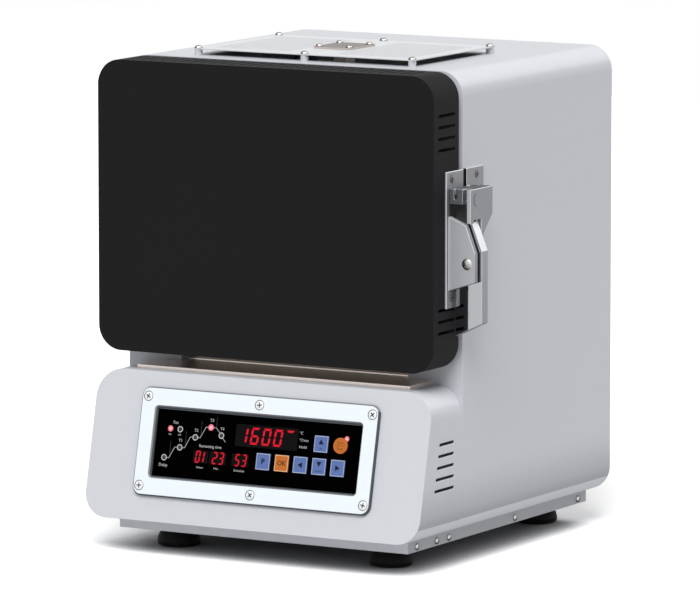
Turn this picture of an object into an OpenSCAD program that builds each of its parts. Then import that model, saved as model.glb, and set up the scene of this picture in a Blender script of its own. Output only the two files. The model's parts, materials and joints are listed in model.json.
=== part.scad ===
// Bench-top dental furnace with a side-hung door, a claw latch and a sloping control console.
// Millimetres, +Z up. The front faces -Y and the bench is Z = 0.

/* [Cabinet] */
// Width of the cabinet, the console and the door
cabinet_w = 385; // [365:1:410]
// Depth of the cabinet behind its front face
cabinet_d = 315; // [305:1:335]
// Height of the cabinet shell
cabinet_h = 458.4; // [450:0.2:475]
// Radius of the long edges of the cabinet
edge_r = 25; // [18:1:27]
// Thickness of the painted sheet
sheet_t = 1.5; // [1:0.25:2]

/* [Base] */
// Height of the rubber feet
foot_h = 20.6; // [15:0.2:30]
// Largest diameter of a foot
foot_d = 44; // [36:1:50]
// Distance of a foot's centre from the centre plane
foot_x = 123; // [110:1:135]
// Distance of the front feet in front of the cabinet face
foot_front = 19; // [5:1:30]
// Distance of the rear feet from the cabinet's rear face
foot_rear = 31; // [26:1:45]
// Height of the base pan's flange
pan_h = 13.6; // [12:0.2:18]
// Width of the base pan
pan_w = 332.6; // [318:0.2:333]
// Reach of the base pan in front of the cabinet face
pan_front = 62.9; // [50:0.1:68]
// Distance of the base pan from the cabinet's rear face
pan_rear = 3; // [2:0.5:8]

/* [Console] */
// Height of the console
console_h = 147; // [140:1:150]
// Depth of the console at its top edge
console_top_d = 58; // [54:0.5:64]
// Angle of the console's face from vertical
console_tilt = 12.5; // [10:0.5:14]
// Radius of the console's upper edges
console_r = 29; // [20:1:32]
// Distance of the vent slots behind the console's face
console_slot_margin = 23.5; // [18:0.5:28]
// Distance of the lowest console slot above the console's bottom
console_slot_low = 49.3; // [44:0.1:56]

/* [Bezel and panel] */
// Width of the bezel
bezel_w = 273; // [265:1:280]
// Height of the bezel along the face
bezel_h = 109.6; // [105:0.2:112]
// Thickness of the bezel
bezel_t = 4; // [3:0.25:5]
// Width of the rounding of the bezel's corners
bezel_r = 10; // [6:1:14]
// Width of the bezel's bevel
bezel_bevel = 1.4; // [0.8:0.1:1.8]
// Width of the window in the bezel
window_w = 237; // [234:1:240]
// Height of the window in the bezel
window_h = 70.5; // [69:0.5:73]
// Distance of the bezel's centre below the console's top edge
bezel_drop = 68.7; // [66:0.1:71]
// Overlap of the bezel over the panel's edge
panel_lap = 2; // [1.5:0.25:3]
// Thickness of the control panel
panel_t = 2.5; // [2:0.25:3]
// Width of a square key
key_w = 15.7; // [14:0.1:18]
// Height of a square key
key_h = 16.5; // [15:0.1:17.5]
// Diameter of the round start key
start_d = 16; // [14:0.5:18]
// Spacing of the keys along a row
key_pitch = 21.3; // [20.8:0.1:22]
// Spacing of the two rows of keys
key_rows = 22.4; // [21:0.1:24]
// Height of a key above the panel at rest
key_proud = 0.8; // [0.6:0.1:1.2]
// Travel of a key
key_travel = 0.7; // [0.4:0.1:1]

/* [Door] */
// Gap between the console's top and the door
door_up = 18.3; // [16:0.1:24]
// Thickness of the door cover
door_t = 50.5; // [48:0.5:54]
// Gap between the door cover and the cabinet
door_gap = 8.1; // [7:0.1:10]
// Radius of the door's corners
door_r = 25.5; // [20:0.5:28]
// Thickness of the door's sheet
door_sheet = 1.5; // [1:0.25:2]

/* [Slots] */
// Width of a vent slot
slot_w = 3; // [2.4:0.2:4]
// Length of a door slot
slot_l = 33; // [28:1:36]
// Spacing of the vent slots
slot_pitch = 11.3; // [10.5:0.1:12]
// Number of slots in a group on the door's side
door_slots = 4; // [2:1:4]
// Number of slots in the door's top
top_slots = 29; // [21:2:29]
// Number of slots in the console's side
console_slots = 5; // [3:1:5]
// Distance of the slots from the door's top and bottom
slot_end = 39.5; // [36:0.5:44]

/* [Recess and chamber] */
// Width of the recess in the cabinet front
recess_w = 262; // [256:1:270]
// Depth of the recess
recess_d = 16; // [14:0.5:18]
// Distance of the recess below the cabinet's top
recess_drop = 22.6; // [20:0.2:30]
// Width of the furnace mouth
mouth_w = 140; // [134:1:150]
// Height of the mouth's sill above the deck
mouth_sill = 84; // [78:1:90]
// Thickness of the insulation over the chamber
ceiling_t = 38; // [34:1:44]
// Width of the chamber
chamber_w = 164; // [158:1:180]
// Depth of the chamber
chamber_d = 165; // [158:1:180]
// Depth of the insulation in front of the chamber
front_wall = 36; // [32:1:40]
// Width of the insulation
insulation_w = 300; // [290:1:310]
// Depth of the insulation
insulation_d = 246; // [240:1:256]
// Gap between the insulation and the cabinet's top
roof_gap = 27.4; // [25:0.1:34]
// Diameter of a heating element's leg
element_d = 6; // [5:0.5:7]
// Spacing of the two legs of an element
element_span = 30; // [26:1:34]

/* [Roof] */
// Width of the vent cover
vent_w = 254; // [250:1:262]
// Depth of the vent cover
vent_d = 168; // [162:1:174]
// Distance of the vent cover's front edge behind the cabinet's front face
vent_y = 18; // [14:0.5:20]
// Thickness of the vent cover
vent_t = 1; // [0.8:0.1:1.5]
// Height of the posts under the vent cover
post_h = 6; // [5:0.25:10]
// Diameter of a post
post_d = 8; // [6.5:0.5:9]
// Diameter of a hole in the vent cover
vent_hole = 5; // [3.5:0.25:6]
// Spacing of the holes in the vent cover
vent_pitch = 9.5; // [9:0.25:9.75]
// Width of the probe plate
probe_w = 42.5; // [41:0.5:46]
// Depth of the probe plate
probe_d = 53; // [50:1:58]
// Thickness of the probe plate
probe_t = 2; // [1.5:0.25:3]

/* [Latch] */
// Height of the latch plates
latch_h = 135; // [130:1:140]
// Height of the latch's centre below the cabinet's top
latch_drop = 162.7; // [156:0.1:170]
// Width of the door's latch plate
latch_plate_w = 34.7; // [34:0.1:36]
// Reach of the door's latch plate past the door's rear edge
latch_over = 5.9; // [5:0.1:6.5]
// Thickness of the latch plates
latch_t = 2; // [1.5:0.25:2.5]
// Distance of the latch handle's outer face from the cabinet side
handle_x = 34.1; // [33:0.1:36]
// Width of the latch handle
handle_w = 12.5; // [11:0.25:12.5]
// Height of the pivot of the handle above the latch's lower end
pivot_up = 45.2; // [43:0.1:47]
// Radius of the handle's rivet
pivot_r = 3; // [2.5:0.25:3.5]
// Running clearance between a pin and its bore
pin_clear = 0.05; // [0.03:0.01:0.09]
// Width of the keeper plate on the cabinet
keeper_w = 35.2; // [32:0.1:38]

/* [Hinges] */
// Height of a hinge
hinge_h = 50; // [44:1:56]
// Height of the upper hinge's centre below the cabinet's top
hinge_drop = 107; // [102:1:112]
// Distance between the two hinges' centres
hinge_span = 75; // [70:1:84]
// Length of a hinge leaf
leaf_l = 32; // [26:1:36]
// Thickness of a hinge leaf
leaf_t = 2; // [1.5:0.25:2.5]
// Radius of a hinge knuckle
knuckle_r = 5; // [4.5:0.1:5.5]
// Radius of a hinge pin
hinge_pin_r = 2.5; // [2:0.1:3]

/* [Rear] */
// Side of the fan's square housing
fan_side = 92; // [80:1:96]
// Depth of the fan's housing
fan_d = 25; // [22:1:30]
// Distance of the fan's axis from the centre plane
fan_x = 70; // [60:1:90]
// Height of the fan's axis above the cabinet's bottom
fan_up = 82; // [74:1:90]
// Number of fan blades
blades = 7; // [5:1:9]
// Distance of the power inlet from the cabinet's side
inlet_in = 72.5; // [64:0.5:90]
// Distance between the power inlet and the power switch
switch_off = 54; // [48:1:62]
// Height of the inlet and the switch above the cabinet's bottom
inlet_up = 60; // [50:1:90]

/* [Hidden] */
$fn = 48;
eps = 0.01;
gap = 0.3;

cab_z = foot_h + pan_h;
cab_top = cab_z + cabinet_h;
side_x = cabinet_w / 2;
console_top = cab_z + console_h;
door_front = -door_gap - door_t;
door_z = console_top + door_up;
door_h = cab_top - door_z;
handle_rivet = 1.5;
hinge_off = knuckle_r + 1.5;
console_low_d = console_top_d + console_h * tan(console_tilt);
// the origin lies on the bench under the middle of the whole object
origin_x = -(handle_x - hinge_off - knuckle_r) / 2;
origin_y = -(cabinet_d - console_low_d) / 2;

white = "#d9dbde";
steel = "#b4b7bb";
black = "#262628";
dark = "#3a3b3d";
fibre = "#ece7dc";
rubber = "#1b1b1c";

module in_frame() translate([origin_x, origin_y, 0]) children();

// an upright rounded rectangle that stands on the 2-D X axis
module profile(w, h, top_r, bottom_r) {
    translate([-w / 2, bottom_r]) square([w, h - top_r - bottom_r]);
    translate([-w / 2 + bottom_r, 0]) square([w - 2 * bottom_r, h / 2]);
    translate([-w / 2 + top_r, h / 2]) square([w - 2 * top_r, h / 2]);
    for (s = [-1, 1]) {
        translate([s * (w / 2 - bottom_r), bottom_r]) circle(bottom_r);
        translate([s * (w / 2 - top_r), h - top_r]) circle(top_r);
    }
}

// a rounded rectangle about the 2-D origin
module plate2d(w, h, r) translate([0, -h / 2]) profile(w, h, r, r);

// a 2-D shape in X and Z, carried along Y
module run_y(y0, y1) translate([0, y1, 0]) rotate([90, 0, 0]) linear_extrude(y1 - y0) children();

// a 2-D shape in Y and Z, carried along X
module run_x(x0, x1) translate([x0, 0, 0]) rotate([90, 0, 90]) linear_extrude(x1 - x0) children();

// a box from its low corner to its high corner
module block(a, b) translate(a) cube(b - a);

// a slot with round ends along Y, cut along X through both sides
module slot_x(y0, y1, z, reach) run_x(-reach, reach) slot2d(y0, y1, z);
module slot2d(a0, a1, b) {
    translate([a0 + slot_w / 2, b - slot_w / 2]) square([a1 - a0 - slot_w, slot_w]);
    for (a = [a0 + slot_w / 2, a1 - slot_w / 2]) translate([a, b]) circle(slot_w / 2, $fn = 24);
}

// a shallow dome that stands on Z = 0
module dome(d, h) {
    r = (d * d / 4 + h * h) / (2 * h);
    intersection() {
        translate([0, 0, h - r]) sphere(r);
        cylinder(h = 2 * h, r = r);
    }
}

// a pan-head screw with its head on Z = 0 and its shank below
module pan_screw(d, h, shank) {
    difference() {
        dome(d, h);
        translate([-d / 4, -0.5, h - 0.8]) cube([d / 2, 1, 2]);
        translate([-0.5, -d / 4, h - 0.8]) cube([1, d / 2, 2]);
    }
    translate([0, 0, -shank]) cylinder(h = shank + eps, r = d / 5);
}

// Base

base_y0 = -pan_front;
base_y1 = cabinet_d - pan_rear;
front_foot_y = -foot_front;
rear_foot_y = cabinet_d - foot_rear;
base_screw_z = foot_h + 5.2;
base_screws_y = [base_y0 + 17.5, -5.2, 19.7, cabinet_d / 2, base_y1 - 19];

module base_pan() in_frame() color("#8f9296") difference() {
    block([-pan_w / 2, base_y0, foot_h], [pan_w / 2, base_y1, cab_z]);
    block([-pan_w / 2 + sheet_t, base_y0 + sheet_t, foot_h + sheet_t],
        [pan_w / 2 - sheet_t, base_y1 - sheet_t, cab_z + 1]);
}

// one turned rubber foot, widest near the bench
module foot() rotate_extrude() polygon([[0, 0], [foot_d * 0.42, 0], [foot_d * 0.48, 1.5], [foot_d / 2, 5],
    [foot_d * 0.47, foot_h * 0.5], [foot_d * 0.39, foot_h - 3], [foot_d * 0.39, foot_h], [0, foot_h]]);

module feet_at(y) in_frame() color(rubber) for (s = [-1, 1]) translate([s * foot_x, y, 0]) foot();
module front_feet() feet_at(front_foot_y);
module rear_feet() feet_at(rear_foot_y);

module base_screws() in_frame() color(steel) for (s = [-1, 1], y = base_screws_y)
    translate([s * pan_w / 2, y, base_screw_z]) rotate([0, s * 90, 0]) dome(7.5, 2.6);

// Cabinet

opening_y0 = vent_y + 1.5 * post_d;
opening_y1 = vent_y + vent_d - post_d - 0.5;
opening_w = vent_w - post_d - 5;
recess_top = cab_top - recess_drop;
tray_z = console_top + 2;
pass_w = 290;

module cabinet_profile(inset) translate([0, cab_z + inset])
    profile(cabinet_w - 2 * inset, cabinet_h - 2 * inset, edge_r - inset, edge_r - inset);

module cabinet_shell() in_frame() color(white) difference() {
    run_y(0, cabinet_d) cabinet_profile(0);
    run_y(-1, cabinet_d + 1) cabinet_profile(sheet_t);
    translate([0, (opening_y0 + opening_y1) / 2, cab_top - sheet_t - 1]) linear_extrude(sheet_t + 2)
        plate2d(opening_w, opening_y1 - opening_y0, 10);
}

module front_frame() in_frame() color(white) difference() {
    union() {
        run_y(0, sheet_t) cabinet_profile(sheet_t);
        block([-recess_w / 2 - sheet_t, 0, tray_z - sheet_t],
            [recess_w / 2 + sheet_t, recess_d + casing_t, recess_top + sheet_t]);
    }
    block([-recess_w / 2, -1, tray_z], [recess_w / 2, recess_d + casing_t + 1, recess_top]);
    block([-pass_w / 2, -1, cab_z + edge_r], [pass_w / 2, sheet_t + 1, console_top - edge_r]);
}

// Console

face_y = -console_top_d - bezel_drop * tan(console_tilt);
face_z = console_top - bezel_drop;
panel_w = window_w + 2 * panel_lap;
panel_h = window_h + 2 * panel_lap;
slot_y1 = -16.5;

// the centre of the bezel on the sloping face: X along it, Y up it, Z out of it
module on_face() translate([0, face_y, face_z]) rotate([90 - console_tilt, 0, 0]) children();

module console_form(inset, back) difference() {
    run_y(-console_low_d - 5, back) translate([0, cab_z + inset])
        profile(cabinet_w - 2 * inset, console_h - 2 * inset, console_r - inset, edge_r - inset);
    on_face() translate([-cabinet_w, -console_h * 1.5, -inset]) cube([2 * cabinet_w, 3 * console_h, 100]);
}

module console_shell() in_frame() color(white) difference() {
    console_form(0, 0);
    console_form(sheet_t, 1);
    on_face() translate([0, 0, -5]) linear_extrude(10) plate2d(panel_w + 2 * gap, panel_h + 2 * gap, 2);
    on_face() for (p = bezel_points) translate([p[0], p[1], -5]) cylinder(h = 10, r = 2.1);
    for (i = [0 : console_slots - 1]) {
        z = cab_z + console_slot_low + i * slot_pitch;
        y0 = -console_top_d - (console_top - z) * tan(console_tilt) + console_slot_margin;
        slot_x(y0, slot_y1, z, cabinet_w);
    }
}

tray_t = 1.2;
tray_w = 314;
tray_front = 43;
tray_up = 3;

// polished tray that keeps the door's heat off the console, with a turned-up rear edge in the recess
module heat_tray() in_frame() color("#8d8078") {
    block([-tray_w / 2, -tray_front, console_top], [tray_w / 2, 0, tray_z]);
    block([-tray_w / 2, -tray_front, tray_z], [tray_w / 2, -eps, tray_z + tray_t]);
    block([-recess_w / 2 + gap, -eps, tray_z], [recess_w / 2 - gap, recess_d - 1, tray_z + tray_t]);
    block([-recess_w / 2 + gap, recess_d - 1 - tray_t, tray_z], [recess_w / 2 - gap, recess_d - 1, tray_z + tray_up]);
}

// Bezel and control panel

head_r = 5;
head_t = 1.2;
screw_x = 128.8;
screw_y = bezel_h / 2 - 9.9;
bezel_points = [for (x = [-1, 0, 1], y = [-1, 1]) [x * screw_x, y * screw_y]];

module bezel() in_frame() color("#e8f1f6") on_face() difference() {
    hull() {
        linear_extrude(bezel_t - bezel_bevel) plate2d(bezel_w, bezel_h, bezel_r, $fn = 32);
        linear_extrude(bezel_t)
            plate2d(bezel_w - 2 * bezel_bevel, bezel_h - 2 * bezel_bevel, bezel_r - bezel_bevel, $fn = 32);
    }
    translate([0, 0, -1]) linear_extrude(bezel_t + 2) plate2d(window_w, window_h, 3);
    hull() {
        translate([0, 0, bezel_t - bezel_bevel]) linear_extrude(eps) plate2d(window_w, window_h, 3, $fn = 24);
        translate([0, 0, bezel_t]) linear_extrude(1)
            plate2d(window_w + 2 * bezel_bevel, window_h + 2 * bezel_bevel, 3 + bezel_bevel, $fn = 24);
    }
    for (p = bezel_points) translate([p[0], p[1], 0]) {
        translate([0, 0, bezel_t - head_t]) cylinder(h = head_t + 1, r = head_r);
        translate([0, 0, -1]) cylinder(h = bezel_t, r = 2.1);
    }
}

module bezel_screws() in_frame() color(steel) on_face() for (p = bezel_points)
    translate([p[0], p[1], bezel_t - head_t]) difference() {
        union() {
            cylinder(h = head_t + 0.2, r = head_r - 0.1);
            translate([0, 0, -bezel_t]) cylinder(h = bezel_t, r = 2);
        }
        for (a = [0, 90]) rotate([0, 0, a + 20]) translate([-2.4, -0.6, head_t - 0.6]) cube([4.8, 1.2, 2]);
    }

first_key = 8.8;
key_y = -10.5;
key_flange = 1.5;
flange_t = 1.3;
main_display = [9.8, 13.8, 71.4, 22];
timers = [[-63.4, -11.1, 17.2, 12.2], [-43.8, -11.1, 19.1, 12.2], [-17.9, -11.1, 19, 12.2]];
displays = concat([main_display], timers);
display_t = 1;

function key_at(i) = [first_key + i * key_pitch, key_y];
up_at = [first_key + 3 * key_pitch, key_y + key_rows];
start_at = [first_key + 4 * key_pitch + 0.6, key_y + key_rows];
square_keys = concat([for (i = [0 : 4]) key_at(i)], [up_at]);

module control_panel() in_frame() color("#0c0c0d") on_face() difference() {
    translate([0, 0, -panel_t]) linear_extrude(panel_t) plate2d(panel_w, panel_h, 2);
    for (k = square_keys) translate([k[0], k[1], -panel_t - 1]) linear_extrude(panel_t + 2)
        square([key_w + 2 * gap, key_h + 2 * gap], center = true);
    translate([start_at[0], start_at[1], -panel_t - 1]) cylinder(h = panel_t + 2, r = start_d / 2 + gap);
    for (d = displays) translate([d[0], d[1], -display_t]) linear_extrude(display_t + 1)
        square([d[2], d[3]], center = true);
}

module display_windows() in_frame() color("#2a1012") on_face() for (d = displays)
    translate([d[0], d[1], -display_t]) linear_extrude(display_t) square([d[2], d[3]], center = true);

board_z = -panel_t - flange_t - gap - key_travel - 4;

module control_board() in_frame() color("#2f5d3a") on_face() {
    translate([-panel_w / 2, -panel_h / 2, board_z - 1.6]) cube([panel_w, panel_h, 1.6]);
    // spacers between the board and the panel
    for (x = [-1, 0, 1], y = [-1, 1]) translate([x * (panel_w / 2 - 5), y * (panel_h / 2 - 5), board_z - eps])
        cylinder(h = -panel_t - board_z + eps, r = 3);
    // one small switch under each key
    for (k = concat(square_keys, [start_at])) translate([k[0] - 3, k[1] - 3, board_z - eps])
        cube([6, 6, 3.6]);
    for (d = displays) translate([d[0] - d[2] / 2, d[1] - d[3] / 2, board_z - eps])
        cube([d[2], d[3], -board_z - panel_t - gap]);
}

// a key with a cap through the panel and a flange behind it
module square_key(at, tint) in_frame() color(tint) on_face() translate([at[0], at[1], 0]) {
    translate([0, 0, -panel_t - gap - flange_t]) linear_extrude(flange_t + gap + panel_t + key_proud)
        square([key_w, key_h], center = true);
    translate([0, 0, -panel_t - gap - flange_t]) linear_extrude(flange_t)
        square([key_w, key_h + 2 * key_flange], center = true);
}
module key_p() square_key(key_at(0), "#6b86c2");
module key_ok() square_key(key_at(1), "#e08a2c");
module key_left() square_key(key_at(2), "#6b86c2");
module key_down() square_key(key_at(3), "#6b86c2");
module key_right() square_key(key_at(4), "#6b86c2");
module key_up() square_key(up_at, "#6b86c2");
module key_start() in_frame() color("#e08a2c") on_face() translate([start_at[0], start_at[1], 0]) {
    translate([0, 0, -panel_t - gap - flange_t]) cylinder(h = flange_t + gap + panel_t + key_proud, r = start_d / 2);
    translate([0, 0, -panel_t - gap - flange_t]) cylinder(h = flange_t, r = start_d / 2 + key_flange);
}

// Roof

vent_cy = vent_y + vent_d / 2;
vent_z = cab_top + post_h;
// the posts stand flush with the cover's edges
posts = [for (x = [-1, 0, 1], y = [-1, 1]) [x * (vent_w - post_d) / 2, vent_cy + y * (vent_d - post_d) / 2]];
field_cols = 9;
field_rows = 14;
field_x = vent_w / 2 - 19 - (field_cols - 1) * vent_pitch / 2;
probe_at = [17.3, 20.5];
probe_hole = 1.8;
probe_points = [for (x = [-1, 1], y = [-1, 1]) [x * probe_at[0], vent_cy + y * probe_at[1]]];

module vent_cover() in_frame() color(steel) translate([0, 0, vent_z]) linear_extrude(vent_t) difference() {
    translate([0, vent_cy]) plate2d(vent_w, vent_d, post_d / 2);
    for (s = [-1, 1], i = [0 : field_cols - 1], j = [0 : field_rows - 1])
        translate([s * field_x + (i - (field_cols - 1) / 2) * vent_pitch,
            vent_cy + (j - (field_rows - 1) / 2) * vent_pitch]) circle(vent_hole / 2, $fn = 16);
    translate([0, vent_cy]) circle(6);
    for (p = posts) translate(p) circle(2.1);
    for (p = probe_points) translate(p) circle(probe_hole);
}

module vent_posts() in_frame() color(steel) for (p = posts) translate([p[0], p[1], cab_top]) difference() {
    cylinder(h = post_h, r = post_d / 2);
    translate([0, 0, -1]) cylinder(h = post_h + 2, r = 2.1);
}

module vent_screws() in_frame() color(steel) for (p = posts) translate([p[0], p[1], vent_z + vent_t])
    pan_screw(8.5, 3.3, post_h + vent_t);

module probe_plate() in_frame() color("#a8988a") translate([0, 0, vent_z + vent_t]) linear_extrude(probe_t)
    difference() {
        translate([0, vent_cy]) plate2d(probe_w, probe_d, 1.5);
        for (p = probe_points) translate(p) circle(probe_hole);
    }

module probe_screws() in_frame() color(steel) for (p = probe_points) translate([p[0], p[1], vent_z + vent_t + probe_t])
    pan_screw(8.2, 3.4, probe_t + vent_t);

// Chamber

deck_z = tray_z + 5.3;
casing_t = 1.2;
chamber_y0 = recess_d + casing_t;
cavity_y0 = chamber_y0 + front_wall;
cavity_y1 = cavity_y0 + chamber_d;
ins_z0 = deck_z + sheet_t + casing_t;
ins_z1 = cab_top - roof_gap;
mouth_z0 = ins_z0 + mouth_sill;
cavity_z0 = mouth_z0 - 8;
cavity_z1 = ins_z1 - ceiling_t;
mouth_z1 = cavity_z1 - 12;
mouth_h = mouth_z1 - mouth_z0;
element_x = chamber_w / 2 - 14;
element_y = [cavity_y0 + 44, cavity_y0 + 44 + 66];
leg_ys = [for (y = element_y, s = [-1, 1]) y + s * element_span / 2];
element_low = cavity_z0 + 18 + element_span / 2;
element_top = ins_z1 + 12;
collar_r = element_d / 2 + 1.5;

// shelf that carries the chamber above the electrics
module deck() in_frame() color("#9a9da1") {
    block([-side_x + sheet_t, recess_d + 2 * sheet_t, deck_z], [side_x - sheet_t, cabinet_d - fan_d, deck_z + sheet_t]);
    for (s = [-1, 1]) translate([s * (side_x - 1.5 * sheet_t) - sheet_t / 2, recess_d + 2 * sheet_t, deck_z - 14])
        cube([sheet_t, cabinet_d - fan_d - recess_d - 2 * sheet_t, 14 + sheet_t]);
}

module chamber_casing() in_frame() color("#a5a8ac") difference() {
    block([-insulation_w / 2 - casing_t, chamber_y0, deck_z + sheet_t],
        [insulation_w / 2 + casing_t, chamber_y0 + insulation_d + casing_t, ins_z1]);
    block([-insulation_w / 2, chamber_y0 - 1, ins_z0],
        [insulation_w / 2, chamber_y0 + insulation_d, ins_z1 + 1]);
}

// steel sheet at the back of the recess, round the mouth
module mouth_frame() in_frame() color("#8a7a6c") difference() {
    block([-recess_w / 2, recess_d, tray_z], [recess_w / 2, recess_d + casing_t, recess_top]);
    block([-mouth_w / 2, recess_d - 1, mouth_z0], [mouth_w / 2, recess_d + casing_t + 1, mouth_z1]);
}

module insulation() in_frame() color(fibre) difference() {
    block([-insulation_w / 2, chamber_y0, ins_z0], [insulation_w / 2, chamber_y0 + insulation_d, ins_z1]);
    block([-mouth_w / 2, chamber_y0 - 1, mouth_z0], [mouth_w / 2, cavity_y0 + 1, mouth_z1]);
    block([-chamber_w / 2, cavity_y0, cavity_z0], [chamber_w / 2, cavity_y1, cavity_z1]);
    for (s = [-1, 1], y = leg_ys) translate([s * element_x, y, cavity_z1 - 1])
        cylinder(h = ins_z1 - cavity_z1 + 2, r = collar_r + gap);
    translate([0, vent_cy, cavity_z1 - 1]) cylinder(h = ins_z1 - cavity_z1 + 2, r = probe_r + gap);
}

hearth_w = chamber_w - 58;
hearth_t = 10;

module hearth_plate() in_frame() color("#f4f1ea") translate([0, (cavity_y0 + cavity_y1) / 2 - 2, cavity_z0])
    linear_extrude(hearth_t) plate2d(hearth_w, chamber_d - 24, 6);

// U-shaped elements that hang from thick upper legs
module heating_elements() in_frame() color("#6f6a66") for (s = [-1, 1], y = element_y)
    translate([s * element_x, y, 0]) {
        for (t = [-1, 1]) translate([0, t * element_span / 2, 0]) {
            translate([0, 0, element_low]) cylinder(h = cavity_z1 - 10 - element_low, r = element_d / 2);
            translate([0, 0, cavity_z1 - 10]) cylinder(h = element_top - cavity_z1 + 10, r = collar_r);
        }
        translate([0, 0, element_low]) rotate([0, 90, 0]) rotate([0, 0, -90]) rotate_extrude(angle = 180)
            translate([element_span / 2, 0]) circle(element_d / 2);
    }

strap_t = 3;

// clamps on the upper ends of the elements and the straps that join them
module element_straps() in_frame() color("#c9ccd0") difference() {
    union() {
        for (s = [-1, 1], y = leg_ys) translate([s * element_x - 7, y - 7, ins_z1])
            cube([14, 14, element_top - 1 - ins_z1]);
        for (s = [-1, 1]) translate([s * element_x - 5, leg_ys[1], element_top - 1 - strap_t])
            cube([10, leg_ys[2] - leg_ys[1], strap_t]);
        translate([-element_x, leg_ys[3] - 5, element_top - 1 - strap_t]) cube([2 * element_x, 10, strap_t]);
    }
    for (s = [-1, 1], y = leg_ys) translate([s * element_x, y, element_top - 20])
        cylinder(h = 30, r = collar_r);
}

probe_r = 4;
probe_low = cavity_z1 - 26;
head_z = element_top + 1.5;

// ceramic tube into the chamber with its terminal block under the probe plate
module thermocouple() in_frame() color("#cfc8bb") translate([0, vent_cy, 0]) {
    translate([0, 0, probe_low]) cylinder(h = head_z - probe_low, r = probe_r);
    translate([-7, -9, head_z - eps]) cube([14, 18, vent_z - head_z]);
    translate([-probe_w / 2 + 1, -probe_d / 2 + 4, vent_z - 1.2]) cube([probe_w - 2, probe_d - 8, 1.2]);
}

// Electrics in the lower part

core_d = 46;
core_w = 120;
core_h = 100;
core_at = [-88, 150];
floor_z = cab_z + sheet_t;

module transformer() in_frame() color("#57504a") translate([core_at[0], core_at[1], floor_z]) {
    difference() {
        translate([-core_w / 2, -core_d / 2, 0]) cube([core_w, core_d, core_h]);
        for (s = [-1, 1]) translate([s * core_w / 4 - 10, -core_d, 20]) cube([20, 2 * core_d, core_h - 40]);
    }
    // the winding round the middle leg
    difference() {
        translate([-core_w / 4 - 8, -core_d / 2 - 18, 22]) cube([core_w / 2 + 16, core_d + 36, core_h - 44]);
        translate([-core_w / 4 + 10, -core_d / 2, 0]) cube([core_w / 2 - 20, core_d, core_h]);
    }
}

sink_w = 90;
sink_fins = 11;
sink_at = [88, 60];

module power_module() in_frame() color("#8b9096") translate([sink_at[0], sink_at[1], floor_z]) {
    run_y(0, 110) union() {
        translate([-sink_w / 2, 0]) square([sink_w, 6]);
        for (i = [0 : sink_fins - 1]) translate([-sink_w / 2 + i * (sink_w - 2) / (sink_fins - 1), 6 - eps])
            square([2, 22]);
    }
    translate([-24, 118, 0]) cube([48, 58, 24]);
    translate([-sink_w / 2, 110 - eps, 0]) cube([sink_w, 70, 4]);
}

// Rear

rear_y = cabinet_d - sheet_t;
fan_z = cab_z + fan_up;
fan_r = fan_side / 2 - 4;
inlet_x = -side_x + inlet_in;
switch_x = inlet_x + switch_off;
inlet_z = cab_z + inlet_up;
rear_points = [for (s = [-1, 1], z = [cab_z + 30, cab_z + cabinet_h * 0.5, cab_top - 30]) [s * (side_x - 12), z]];
fan_points = [for (x = [-1, 1], z = [-1, 1]) [fan_x + x * (fan_side / 2 - 5), fan_z + z * (fan_side / 2 - 5)]];
inlet_w = 27;
inlet_h = 19.6;
switch_w = 22;
switch_h = 30;
rear_slot_l = 66;
rear_slots = 9;
rear_slot_z = cab_top - 60;

module rear_panel() in_frame() color(white) difference() {
    run_y(rear_y, cabinet_d) cabinet_profile(sheet_t);
    translate([fan_x, rear_y - 1, fan_z]) rotate([-90, 0, 0]) cylinder(h = sheet_t + 2, r = fan_r);
    for (p = concat(fan_points, rear_points)) translate([p[0], rear_y - 1, p[1]]) rotate([-90, 0, 0])
        cylinder(h = sheet_t + 2, r = 2.1);
    block([inlet_x - inlet_w / 2, rear_y - 1, inlet_z - inlet_h / 2],
        [inlet_x + inlet_w / 2, cabinet_d + 1, inlet_z + inlet_h / 2]);
    block([switch_x - switch_w / 2 + 1, rear_y - 1, inlet_z - switch_h / 2 + 1],
        [switch_x + switch_w / 2 - 1, cabinet_d + 1, inlet_z + switch_h / 2 - 1]);
    for (c = [-1, 0, 1], i = [0 : rear_slots - 1]) run_y(rear_y - 1, cabinet_d + 1)
        slot2d(c * 90 - rear_slot_l / 2, c * 90 + rear_slot_l / 2, rear_slot_z - i * slot_pitch);
}

module rear_screws() in_frame() color(steel) for (p = rear_points) translate([p[0], cabinet_d, p[1]])
    rotate([-90, 0, 0]) pan_screw(8, 2.4, 4);

rotor_r = fan_r - 1.5;
hub_r = 19;
shaft_r = 2;
mount_t = 3;
fan_y0 = rear_y - fan_d;

module fan_housing() in_frame() color("#202123") translate([fan_x, fan_y0, fan_z]) rotate([-90, 0, 0]) difference() {
    union() {
        difference() {
            linear_extrude(fan_d) plate2d(fan_side, fan_side, 5);
            translate([0, 0, -1]) cylinder(h = fan_d + 2, r = fan_r);
        }
        cylinder(h = mount_t, r = hub_r + 2);
        for (a = [45 : 90 : 315]) rotate([0, 0, a]) translate([hub_r, -2.5, 0]) cube([fan_r - hub_r + 1, 5, mount_t]);
    }
    translate([0, 0, -1]) cylinder(h = mount_t + 2, r = shaft_r + pin_clear);
    for (x = [-1, 1], z = [-1, 1]) translate([x * (fan_side / 2 - 5), z * (fan_side / 2 - 5), -1])
        cylinder(h = fan_d + 2, r = 2.1);
}

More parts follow.
